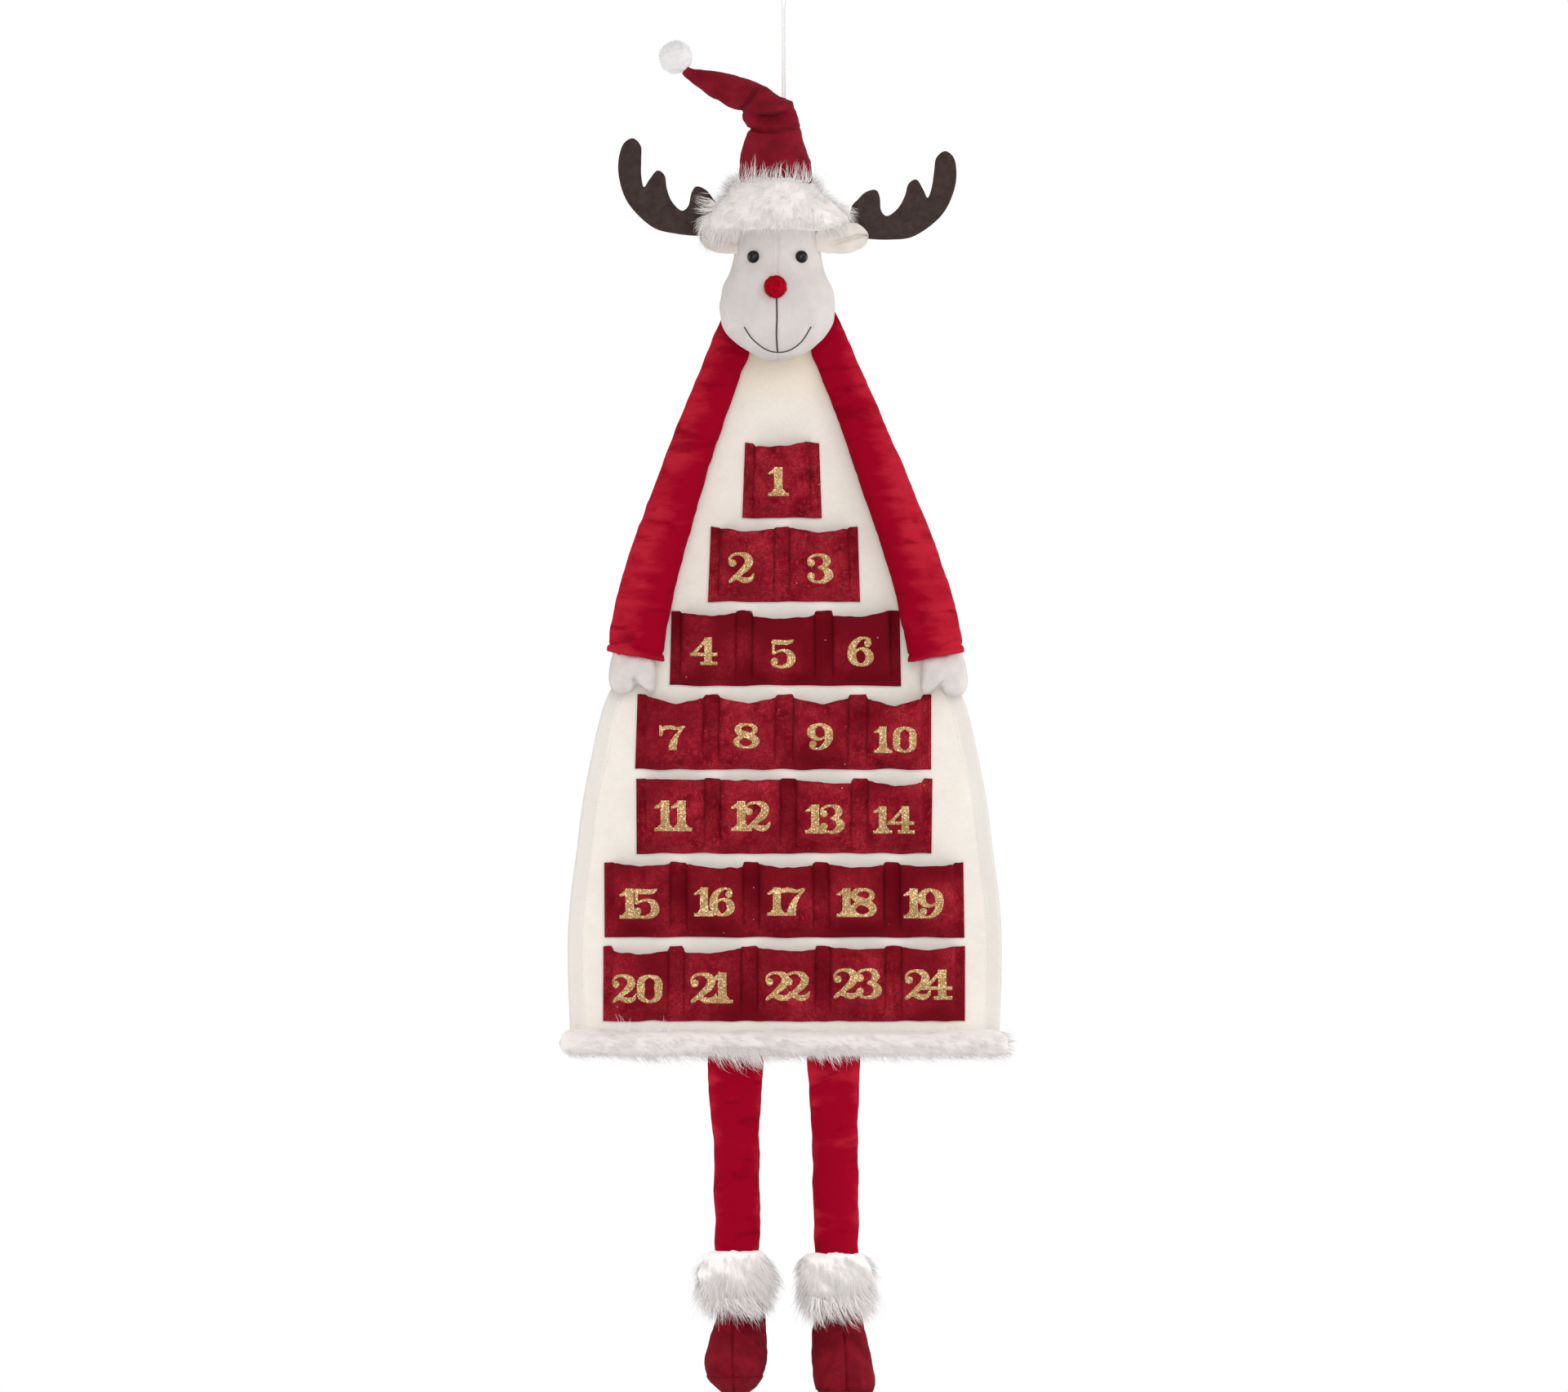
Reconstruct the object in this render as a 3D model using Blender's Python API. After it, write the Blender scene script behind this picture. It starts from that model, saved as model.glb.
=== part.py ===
"""A hanging fabric advent calendar with twenty-four pockets.

The front faces -Y and +Z is up. The origin is the inside top of the hanging loop.
Lengths are in metres. Left and right are the viewer's.
"""

import math

import bmesh
import bpy
import numpy as np
from mathutils import Matrix, Vector

# Fits
GAP = 0.0003
OVERRUN = 0.010

# Hanging cord: two strands side by side, from the loop down into the hat's back
CORD_DIAMETER = 0.0018
CORD_SPACING = 0.0023
LOOP_RADIUS = 0.0042
LOOP_NECK = 0.030
CORD_DROP = 0.171
CORD_TAIL = 0.012
CORD_TO_BACK = 0.004

# Head
HEAD_WIDTH = 0.104
HEAD_HEIGHT = 0.158
HEAD_DEPTH = 0.0790
HEAD_SHIFT = -0.0058
HEAD_BELOW_BRIM = 0.012

# Face
EYE_DIAMETER = 0.0112
EYE_HEIGHT = 0.0052
EYE_STEM_DIAMETER = 0.0030
EYE_STEM_LENGTH = 0.008
EYE_SPACING = 0.0418
EYE_DROP = 0.065
NOSE_DIAMETER = 0.0202
NOSE_DROP = 0.0915
NOSE_SHIFT = -0.0018
NOSE_SINK = 0.0045

# Ears and antlers
EAR_LENGTH = 0.041
EAR_HEIGHT = 0.0275
EAR_FELT = 0.0026
EAR_CUP = 0.006
EAR_DROP = 0.0475
EAR_ROOT = 0.034
EAR_FORWARD = 0.040
ANTLER_WIDTH = 0.0882
ANTLER_HEIGHT = 0.085
ANTLER_FELT = 0.0034
ANTLER_ROOT = 0.0520
ANTLER_DROP = 0.0445
ANTLER_FORWARD = 0.028
ANTLER_SAG = 8.0
RIGHT_ANTLER_OUT = 0.0095

# Hat
HAT_BASE_WIDTH = 0.066
HAT_REACH = 0.0798
HAT_RISE = 0.0873
HAT_DEPTH_SHARE = 0.82
HAT_SKIRT = 0.026
POMPOM_DIAMETER = 0.0302
POMPOM_TURN = 49.0
BRIM_WIDTH = 0.1335
BRIM_HEIGHT = 0.0515
BRIM_FRONT = 0.0835

# Hanging panels
FELT = 0.002
PANEL_WIDTH = 0.383
PANEL_HEIGHT = 0.676
PANEL_SHIFT = 0.0007
NECK_TAB = 0.079

# Pocket rows
POCKET_FELT = 0.0016
POCKET_DEPTH = 0.0140
TAB_WIDTH = 0.0135
END_FLANGE = 0.0070
GUSSET_RUN = 0.0022
MOUTH_DIP = 0.0065

# Hem
HEM_PROUD = 0.00825
HEM_DIAMETER = 0.0245
HEM_OVER_PANEL = 0.0100
HEM_WALL = 0.0045
ROD_DIAMETER = 0.010
DIMPLE_DIAMETER = 0.0032

# Arms
SHOULDER_SHIFT = -0.004
SHOULDER_ABOVE_CHIN = 0.019
ARM_WIDTH = 0.0505
ARM_DEPTH = 0.031
CUFF_SHIFT = 0.0055
HAND_WIDTH = 0.0446
HAND_LENGTH = 0.0318
HAND_DEPTH = 0.025
HAND_ROOT = 0.018

# Legs
LEG_SPACING = 0.0864
LEG_WIDTH = 0.0492
LEG_DEPTH = 0.0300
LEG_LENGTH = 0.2165
LEG_SEAM = 0.0056
LEFT_LEAN = 0.0010
RIGHT_LEAN = 0.0060
CUFF_WIDTH = 0.0720
CUFF_HEIGHT = 0.0600
CUFF_FRONT = 0.0350
CUFF_RISE = 0.0500
BOOT_WIDTH = 0.0570
BOOT_LENGTH = 0.0880
BOOT_HEIGHT = 0.0610
SOLE_HEIGHT = 0.0185

# Tables of shares, each row starting with how far along it stands
HEAD_SHARES = (
    (0.018, 0.25, 0.60, 0.252),
    (0.060, 0.47, 0.71, 0.132),
    (0.14, 0.635, 0.785, 0.062),
    (0.23, 0.70, 0.825, 0.027),
    (0.33, 0.735, 0.85, 0.007),
    (0.42, 0.775, 0.875, 0.0),
    (0.50, 0.84, 0.92, 0.0),
    (0.58, 0.955, 0.965, 0.012),
    (0.67, 1.0, 0.995, 0.092),
    (0.727, 0.995, 1.0, 0.187),
    (0.785, 0.965, 0.99, 0.207),
    (0.855, 0.84, 0.955, 0.237),
    (0.917, 0.635, 0.90, 0.292),
    (0.962, 0.41, 0.82, 0.372),
    (0.989, 0.21, 0.72, 0.472),
)
HEAD_POLE_SHARES = (0.43, 0.60)
HAT_SHARES = (
    (0.0, 0.0, 0.0, 1.0, 0.0),
    (0.14, 0.02, 0.255, 0.95, 0.0),
    (0.26, 0.035, 0.417, 0.82, 3.0),
    (0.36, 0.05, 0.531, 0.735, 10.0),
    (0.46, 0.098, 0.635, 0.70, 32.0),
    (0.58, 0.232, 0.754, 0.56, 50.0),
    (0.70, 0.441, 0.836, 0.425, 64.0),
    (0.82, 0.648, 0.897, 0.335, 68.0),
    (0.92, 0.82, 0.941, 0.25, 68.0),
    (0.98, 0.95, 0.975, 0.175, 62.0),
    (1.0, 1.0, 1.0, 0.09, 50.0),
)
BRIM_SHARES = (
    (0.0, 0.42, 0.66, 0.96),
    (0.035, 0.50, 0.72, 1.0),
    (0.18, 0.67, 0.82, 1.0),
    (0.42, 0.86, 0.92, 1.0),
    (0.68, 0.985, 0.99, 1.0),
    (0.86, 1.0, 1.0, 1.0),
    (0.97, 0.93, 0.97, 0.985),
    (1.0, 0.82, 0.92, 0.96),
)
ANTLER_SHARES = (
    (0.02, 0.0),
    (0.17, -0.015),
    (0.43, 0.01),
    (0.67, 0.085),
    (0.91, 0.34),
    (1.0, 0.65),
    (0.965, 0.91),
    (0.86, 1.0),
    (0.775, 0.92),
    (0.77, 0.78),
    (0.77, 0.62),
    (0.745, 0.495),
    (0.69, 0.57),
    (0.61, 0.665),
    (0.535, 0.61),
    (0.515, 0.48),
    (0.465, 0.345),
    (0.37, 0.25),
    (0.30, 0.30),
    (0.27, 0.43),
    (0.22, 0.50),
    (0.125, 0.465),
    (0.055, 0.375),
    (0.0, 0.27),
)
EAR_STATION_SHARES = (0.0, 0.25, 0.5, 0.75, 0.9, 1.0)
EAR_SHARES = (
    (0.0, 0.66),
    (0.25, 0.88),
    (0.55, 1.0),
    (0.78, 0.90),
    (0.93, 0.62),
    (1.0, 0.28),
)
PANEL_SHARES = (
    (0.0, 0.145),
    (0.045, 0.165),
    (0.10, 0.225),
    (0.165, 0.305),
    (0.27, 0.44),
    (0.345, 0.535),
    (0.41, 0.61),
    (0.495, 0.715),
    (0.548, 0.813),
    (0.58, 0.852),
    (0.628, 0.89),
    (0.69, 0.932),
    (0.75, 0.958),
    (0.80, 0.982),
    (0.852, 0.998),
    (0.893, 1.0),
    (0.933, 0.997),
    (1.0, 0.988),
)
ROW_POCKETS = (1, 2, 3, 4, 4, 5, 5)
FIRST_ROW_SHARE = 0.2198
ROW_PITCH_SHARE = 0.1095
ROW_HEIGHT_SHARE = 0.8945
ROW_WIDTH_SHARES = (0.175, 0.346, 0.522, 0.679, 0.681, 0.829, 0.833)
POCKET_LEVEL_SHARES = ((0.0, 0.02), (0.07, 0.04), (0.22, 0.58), (0.5, 0.85), (0.8, 0.97), (1.0, 1.0))
FRONT_SHARES = ((0.0, 0.0, 0.30), (0.16, 0.75, 0.62), (0.5, 1.0, 1.0), (0.84, 0.75, 0.62), (1.0, 0.0, 0.30))
FRONT_BULGE_SHARE = 0.10
MITRE_SHARE = 0.5
HEM_END_SHARES = ((0.0, 0.42), (0.14, 0.72), (0.45, 0.93), (1.0, 1.0))
SHOULDER_SHARE = 0.2193
ARM_REACH_SHARE = 0.2394
ARM_DROP_SHARE = 0.4142
ARM_SHARES = (
    (0.0, 0.0, 0.0, 0.70, 0.36),
    (0.07, 0.085, 0.070, 0.715, 0.50),
    (0.25, 0.300, 0.246, 0.76, 0.80),
    (0.45, 0.528, 0.448, 0.85, 0.94),
    (0.65, 0.746, 0.650, 0.93, 1.0),
    (0.85, 0.920, 0.854, 1.0, 1.0),
    (1.0, 1.0, 1.0, 0.955, 0.93),
)
ARM_STATION_SHARES = (0.0, 0.07, 0.16, 0.28, 0.40, 0.52, 0.64, 0.76, 0.88, 0.97, 1.0)
ARM_STEP_SHARE = 0.001
ROUND_END_SHARES = (0.95, 0.75, 0.42)
HAND_SHARES = (
    (-0.32, -0.56),
    (0.30, -0.56),
    (0.38, -0.15),
    (0.47, 0.06),
    (0.50, 0.40),
    (0.45, 0.78),
    (0.37, 0.93),
    (0.28, 0.90),
    (0.19, 0.80),
    (0.10, 0.78),
    (0.02, 0.86),
    (-0.10, 0.97),
    (-0.24, 1.0),
    (-0.38, 0.90),
    (-0.48, 0.62),
    (-0.49, 0.30),
    (-0.44, 0.05),
    (-0.37, -0.20),
)
PILLOW_SHARES = (0.95, 0.80, 0.50)
PILLOW_FULLNESS = 2.6
LEG_FULLNESS = 0.9
LEG_SHARES = (
    (0.0, 1.0, 0.0),
    (0.023, 0.995, 0.20),
    (0.046, 0.985, 0.45),
    (0.092, 0.965, 0.70),
    (0.185, 0.92, 0.92),
    (0.37, 0.855, 1.0),
    (0.60, 0.80, 1.0),
    (0.80, 0.765, 0.96),
    (1.0, 0.73, 0.90),
)
CUFF_SHARES = (
    (0.0, 0.56, 0.66, 0.92),
    (0.06, 0.80, 0.84, 1.0),
    (0.28, 0.99, 0.99, 1.0),
    (0.52, 1.0, 1.0, 1.0),
    (0.78, 0.95, 0.95, 1.0),
    (0.95, 0.76, 0.80, 1.0),
    (1.0, 0.56, 0.66, 0.92),
)
BOOT_SHARES = (
    (0.0, 0.60, 0.30, 0.94),
    (0.20, 0.76, 0.36, 0.98),
    (0.42, 0.88, 0.46, 1.0),
    (0.62, 0.96, 0.63, 1.0),
    (0.80, 1.0, 0.82, 1.0),
    (0.92, 1.0, 0.93, 1.0),
    (1.0, 0.985, 0.965, 1.0),
)
SOLE_SHARES = (
    (0.0, 0.985, 0.965, 1.0),
    (0.30, 0.93, 0.94, 0.97),
    (0.62, 0.74, 0.84, 0.90),
    (0.86, 0.48, 0.68, 0.78),
)

# Sizes that follow from the panel
HEM_LENGTH = PANEL_WIDTH + 2 * HEM_PROUD
ROW_PITCH = PANEL_HEIGHT * ROW_PITCH_SHARE
POCKET_HEIGHT = ROW_PITCH * ROW_HEIGHT_SHARE
SHOULDER_SPACING = PANEL_WIDTH * SHOULDER_SHARE
ARM_REACH = PANEL_WIDTH * ARM_REACH_SHARE
ARM_DROP = PANEL_HEIGHT * ARM_DROP_SHARE

# Levels that the pieces hang from, downwards from the loop
BRIM_TOP = -CORD_DROP
HEAD_TOP = BRIM_TOP - HEAD_BELOW_BRIM
CHIN = HEAD_TOP - HEAD_HEIGHT
PANEL_TOP = CHIN + NECK_TAB
PANEL_BOTTOM = PANEL_TOP - PANEL_HEIGHT
FIRST_ROW_TOP = PANEL_TOP - PANEL_HEIGHT * FIRST_ROW_SHARE
HEM_RADIUS = HEM_DIAMETER / 2
HEM_Z = PANEL_BOTTOM + HEM_OVER_PANEL - HEM_RADIUS
BACK = CORD_TO_BACK
PANEL_FRONT = BACK - 2 * FELT - GAP
ON_PANEL = PANEL_FRONT - GAP
HEM_Y = BACK - HEM_RADIUS
LEG_Y = BACK - LEG_DEPTH / 2
LEG_TOP = HEM_Z - math.sqrt(HEM_RADIUS**2 - (LEG_Y - HEM_Y) ** 2) - GAP - LEG_SEAM / 2
SHOULDER_Z = CHIN + SHOULDER_ABOVE_CHIN


def clear_scene():
    for thing in list(bpy.data.objects):
        bpy.data.objects.remove(thing, do_unlink=True)


def finish(name, colour, roughness, metallic=0.0):
    made = bpy.data.materials.new(name)
    made.use_nodes = True
    shader = made.node_tree.nodes["Principled BSDF"]
    shader.inputs["Base Color"].default_value = (*colour, 1.0)
    shader.inputs["Roughness"].default_value = roughness
    shader.inputs["Metallic"].default_value = metallic
    return made


def made_object(name, points, faces, look):
    """A closed mesh from points and faces, with its faces turned outwards."""
    mesh = bpy.data.meshes.new(name)
    mesh.from_pydata([tuple(p) for p in points], [], faces)
    shape = bmesh.new()
    shape.from_mesh(mesh)
    bmesh.ops.recalc_face_normals(shape, faces=shape.faces)
    shape.to_mesh(mesh)
    shape.free()
    mesh.shade_smooth()
    thing = bpy.data.objects.new(name, mesh)
    bpy.context.scene.collection.objects.link(thing)
    if look is not None:
        mesh.materials.append(look)
    return thing


def read_along(table, t):
    """The columns of a table of shares at t, joined by smooth bends."""
    rows = np.array(table, float)
    slopes = np.gradient(rows[:, 1:], rows[:, 0], axis=0)
    i = int(np.clip(np.searchsorted(rows[:, 0], t) - 1, 0, len(rows) - 2))
    run = rows[i + 1, 0] - rows[i, 0]
    s = (t - rows[i, 0]) / run
    start, end = rows[i, 1:], rows[i + 1, 1:]
    bend = (1 + 2 * s) * (1 - s) ** 2 * start + s * s * (3 - 2 * s) * end
    return bend + run * (s * (1 - s) ** 2 * slopes[i] - s * s * (1 - s) * slopes[i + 1])


def rounded(points, steps):
    """A closed outline with a smooth bend through each point."""
    p = np.array(points, float)
    before, after, next_but_one = np.roll(p, 1, 0), np.roll(p, -1, 0), np.roll(p, -2, 0)
    parts = []
    for t in np.arange(steps) / steps:
        first = -t + 2 * t * t - t**3
        second = 2 - 5 * t * t + 3 * t**3
        third = t + 4 * t * t - 3 * t**3
        fourth = -t * t + t**3
        parts.append((first * before + second * p + third * after + fourth * next_but_one) / 2)
    return np.stack(parts, 1).reshape(-1, 2)


def ring(centre, side, half_width, front, back, count, fullness=1.0):
    """Points round an oval section, which runs along side and from front to back."""
    turn = np.arange(count) * 2 * math.pi / count
    across = np.sign(np.cos(turn)) * np.abs(np.cos(turn)) ** fullness
    deep = np.sign(np.sin(turn)) * np.abs(np.sin(turn)) ** fullness
    points = np.array(centre, float) + np.outer(across * half_width, side)
    points[:, 1] = (front + back) / 2 + (back - front) / 2 * deep
    return points


def loft(name, rings, first_pole, last_pole, look):
    """A skin over a run of rings, closed by a point at each end."""
    count = len(rings[0])
    points = [np.array(first_pole, float)]
    for one in rings:
        points.extend(one)
    points.append(np.array(last_pole, float))
    last = len(points) - 1
    faces = []
    for k in range(count):
        n = (k + 1) % count
        faces.append((0, 1 + n, 1 + k))
        faces.append((last, last - count + k, last - count + n))
        for j in range(len(rings) - 1):
            low, high = 1 + j * count, 1 + (j + 1) * count
            faces.append((low + k, low + n, high + n, high + k))
    return made_object(name, points, faces, look)


def extruded(name, outline, front, back, look):
    """A flat outline, given as x and z, with a thickness from front to back."""
    count = len(outline)
    points = [(x, front, z) for x, z in outline] + [(x, back, z) for x, z in outline]
    faces = [tuple(range(count)), tuple(range(2 * count - 1, count - 1, -1))]
    for k in range(count):
        n = (k + 1) % count
        faces.append((k, n, count + n, count + k))
    thing = made_object(name, points, faces, look)
    thing.data.shade_flat()
    return thing


def turned(name, profile, count, look, place):
    """A closed profile of distance along and radius, turned about an axis, then placed."""
    closed = profile[0][1] > 0
    points, rings, faces = [], [], []
    for along, radius in profile:
        size = count if radius > 0 else 1
        rings.append((len(points), size))
        for k in range(size):
            turn = 2 * math.pi * k / count
            points.append(place @ Vector((radius * math.cos(turn), radius * math.sin(turn), along)))
    pairs = list(zip(rings, rings[1:]))
    if closed:
        pairs.append((rings[-1], rings[0]))
    for (a, a_size), (b, b_size) in pairs:
        for k in range(count):
            n = (k + 1) % count
            corners = [a + k % a_size, a + n % a_size, b + n % b_size, b + k % b_size]
            faces.append(tuple(dict.fromkeys(corners)))
    return made_object(name, points, faces, look)


def block(name, low, high, look=None):
    """A box between two corners."""
    (x0, y0, z0), (x1, y1, z1) = low, high
    outline = ((x0, z0), (x1, z0), (x1, z1), (x0, z1))
    return extruded(name, outline, y0, y1, look)


def as_cutter(thing):
    thing.hide_render = True
    thing.display_type = "WIRE"
    return thing


def clearance_round(piece, gap=GAP):
    """A cutter that is a piece grown by the clearance that its neighbour keeps."""
    mesh = piece.data.copy()
    moves = [v.co + v.normal * gap for v in mesh.vertices]
    for v, place in zip(mesh.vertices, moves):
        v.co = place
    mesh.materials.clear()
    thing = bpy.data.objects.new("room_for_" + piece.name, mesh)
    bpy.context.scene.collection.objects.link(thing)
    return as_cutter(thing)


def cut(piece, cutter):
    step = piece.modifiers.new("cut " + cutter.name, "BOOLEAN")
    step.operation = "DIFFERENCE"
    step.solver = "EXACT"
    step.object = cutter


def pivot_at(name, place):
    pivot = bpy.data.objects.new(name, None)
    pivot.location = place
    bpy.context.scene.collection.objects.link(pivot)
    return pivot


def hang_on(piece, pivot):
    """Puts a piece's origin on its pivot and ties it there."""
    piece.data.transform(Matrix.Translation(-pivot.location))
    piece.parent = pivot


def head_section(share):
    """Half width, front and back of the head at a share of its height."""
    width, front, back = read_along(HEAD_SHARES, share)
    front_y = ON_PANEL - front * HEAD_DEPTH
    back_y = ON_PANEL - back * HEAD_DEPTH
    return width * HEAD_WIDTH / 2, front_y, back_y


def head_front(x, z):
    """How far forward the head's skin stands at a place on its face."""
    half, front, back = head_section((HEAD_TOP - z) / HEAD_HEIGHT)
    off = (x - HEAD_SHIFT) / half
    return (front + back) / 2 - (back - front) / 2 * math.sqrt(1 - off * off)


def make_head(look):
    rings = []
    for row in HEAD_SHARES:
        half, front, back = head_section(row[0])
        centre = (HEAD_SHIFT, 0, HEAD_TOP - row[0] * HEAD_HEIGHT)
        rings.append(ring(centre, (1, 0, 0), half, front, back, 28))
    crown, chin = (ON_PANEL - share * HEAD_DEPTH for share in HEAD_POLE_SHARES)
    return loft("head", rings, (HEAD_SHIFT, crown, HEAD_TOP), (HEAD_SHIFT, chin, CHIN), look)


def make_eye(name, way, look):
    """A domed button on a shank, set square to the head's skin."""
    x = HEAD_SHIFT + way * EYE_SPACING / 2
    z = HEAD_TOP - EYE_DROP
    skin = head_front(x, z)
    beside = head_front(x + GAP, z)
    lean = math.atan2(beside - skin, GAP)
    radius = EYE_DIAMETER / 2
    stem = EYE_STEM_DIAMETER / 2
    profile = [(-EYE_STEM_LENGTH, 0), (-EYE_STEM_LENGTH, stem), (0, stem), (0, radius)]
    for turn in (22, 45, 68):
        angle = math.radians(turn)
        profile.append((EYE_HEIGHT * math.sin(angle), radius * math.cos(angle)))
    profile.append((EYE_HEIGHT, 0))
    facing = Matrix.Rotation(lean, 4, "Z") @ Matrix.Rotation(math.pi / 2, 4, "X")
    return turned(name, profile, 14, look, Matrix.Translation((x, skin, z)) @ facing)


def make_ball(name, diameter, centre, look, count=14):
    profile = []
    for k in range(count // 2 + 1):
        angle = math.pi * k / (count // 2)
        radius = diameter / 2 * math.sin(angle) if 0 < k < count // 2 else 0
        profile.append((-diameter / 2 * math.cos(angle), radius))
    return turned(name, profile, count, look, Matrix.Translation(centre))


def make_ear(name, way, look):
    """A cupped leaf of felt that grows out of the head's side."""
    across = np.linspace(-1, 1, 7)
    front, back = [], []
    for length in EAR_STATION_SHARES:
        height = read_along(EAR_SHARES, length)[0]
        for v in across:
            x = HEAD_SHIFT + way * (EAR_ROOT + length * EAR_LENGTH)
            z = HEAD_TOP - EAR_DROP + v * height * EAR_HEIGHT / 2
            y = ON_PANEL - EAR_FORWARD - EAR_CUP * v * v
            front.append((x, y - EAR_FELT, z))
            back.append((x, y, z))
    wide, long = len(across), len(EAR_STATION_SHARES)
    shift = wide * long
    faces = []
    for i in range(long - 1):
        for j in range(wide - 1):
            a = i * wide + j
            quad = (a, a + 1, a + wide + 1, a + wide)
            faces.append(quad)
            faces.append(tuple(shift + k for k in reversed(quad)))
    edge = [j for j in range(wide)] + [i * wide + wide - 1 for i in range(1, long)]
    edge += [(long - 1) * wide + j for j in range(wide - 2, -1, -1)]
    edge += [i * wide for i in range(long - 2, 0, -1)]
    for a, b in zip(edge, edge[1:] + edge[:1]):
        faces.append((a, b, shift + b, shift + a))
    return made_object(name, front + back, faces, look)


def make_antler(name, way, sag, out, look):
    """A flat felt antler, its root end inside the hat's fur."""
    outline = rounded(ANTLER_SHARES, 2)
    turn = math.radians(sag)
    places = []
    for along, up in outline:
        u, v = along * ANTLER_WIDTH, up * ANTLER_HEIGHT
        across = u * math.cos(turn) + v * math.sin(turn)
        height = v * math.cos(turn) - u * math.sin(turn)
        x = HEAD_SHIFT + way * (ANTLER_ROOT + out + across)
        places.append((x, HEAD_TOP - ANTLER_DROP + height))
    front = ON_PANEL - ANTLER_FORWARD - ANTLER_FELT
    return extruded(name, places, front, front + ANTLER_FELT, look)


def hat_place(row):
    """Centre, side direction and half width at one row of the hat's table."""
    _, reach, rise, width, turn = row
    angle = math.radians(turn)
    x = HEAD_SHIFT - reach * HAT_REACH
    z = HEAD_TOP - HAT_SKIRT + HEAD_BELOW_BRIM + rise * (HAT_RISE + HAT_SKIRT)
    side = Vector((math.cos(angle), 0, math.sin(angle)))
    return Vector((x, 0, z)), side, width * HAT_BASE_WIDTH / 2


def make_hat(look):
    """The pointed hat, which folds over to the left half way up."""
    rings = []
    middle = ON_PANEL - HEAD_POLE_SHARES[0] * HEAD_DEPTH
    for row in HAT_SHARES:
        centre, side, half = hat_place(row)
        deep = half * HAT_DEPTH_SHARE
        rings.append(ring(centre, side, half, middle - deep, middle + deep, 20))
    foot = hat_place(HAT_SHARES[0])[0]
    tip = hat_place(HAT_SHARES[-1])[0]
    foot.y = tip.y = middle
    return loft("hat_cone", rings, foot, tip, look)


def make_pompom(look):
    tip = hat_place(HAT_SHARES[-1])[0]
    turn = math.radians(POMPOM_TURN)
    out = Vector((-math.cos(turn), 0, math.sin(turn)))
    centre = tip + out * (GAP + POMPOM_DIAMETER / 2)
    centre.y = ON_PANEL - HEAD_POLE_SHARES[0] * HEAD_DEPTH
    return make_ball("hat_pompom", POMPOM_DIAMETER, centre, look, 16)


def barrel(name, shares, x, top, height, width, front, back, look, count=20):
    """A solid band whose width and front follow a table, its back kept flat."""
    rings = []
    middle = (front + back) / 2
    for down, wide, deep, behind in shares:
        centre = (x, 0, top - down * height)
        far = middle + (back - middle) * behind
        near = middle + (front - middle) * deep
        rings.append(ring(centre, (1, 0, 0), wide * width / 2, near, far, count))
    return loft(name, rings, (x, middle, top), (x, middle, top - height), look)


def panel_outline(inset=0.0):
    right = []
    for down, wide in PANEL_SHARES:
        right.append((wide * PANEL_WIDTH / 2 - inset, PANEL_TOP - down * PANEL_HEIGHT))
    left = [(-x, z) for x, z in reversed(right)]
    return [(PANEL_SHIFT + x, z) for x, z in right + left]


def make_panels(cream):
    outline = panel_outline()
    front = extruded("front_panel", outline, PANEL_FRONT, PANEL_FRONT + FELT, cream[0])
    back = extruded("back_panel", outline, BACK - FELT, BACK, cream[1])
    return front, back


def row_left_top(row):
    """A row's left end, its top and the width of one pocket with its share of the tabs."""
    width = ROW_WIDTH_SHARES[row] * PANEL_WIDTH
    top = FIRST_ROW_TOP - row * ROW_PITCH
    return PANEL_SHIFT - width / 2, top, width / ROW_POCKETS[row]


def strip_path(row):
    """Along a row: x, how far out the felt stands and how far its top dips, as shares."""
    left, _, cell = row_left_top(row)
    count = ROW_POCKETS[row]
    path = [(left, 0, 0)]
    for k in range(count):
        start = left + k * cell + (END_FLANGE if k == 0 else TAB_WIDTH / 2)
        end = left + (k + 1) * cell - (END_FLANGE if k == count - 1 else TAB_WIDTH / 2)
        path.append((start, 0, 0))
        low, high = start + GUSSET_RUN, end - GUSSET_RUN
        for share, bulge, dip in FRONT_SHARES:
            out = 1 + FRONT_BULGE_SHARE * (bulge - 1)
            path.append((low + share * (high - low), out, dip))
        path.append((end, 0, 0))
    path.append((left + count * cell, 0, 0))
    return path


def offset_inwards(points, distance):
    """An open line in plan, moved towards the panel, with mitred corners."""
    p = np.array(points)
    way = np.diff(p, axis=0)
    way /= np.linalg.norm(way, axis=1)[:, None]
    normal = np.stack([-way[:, 1], way[:, 0]], 1)
    first, last = normal[:1], normal[-1:]
    joint = np.concatenate([first, normal[:-1] + normal[1:], last])
    joint /= np.linalg.norm(joint, axis=1)[:, None]
    edge = np.concatenate([first, normal])
    stretch = np.maximum((joint * edge).sum(1), MITRE_SHARE)[:, None]
    return p + joint / stretch * distance


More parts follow.
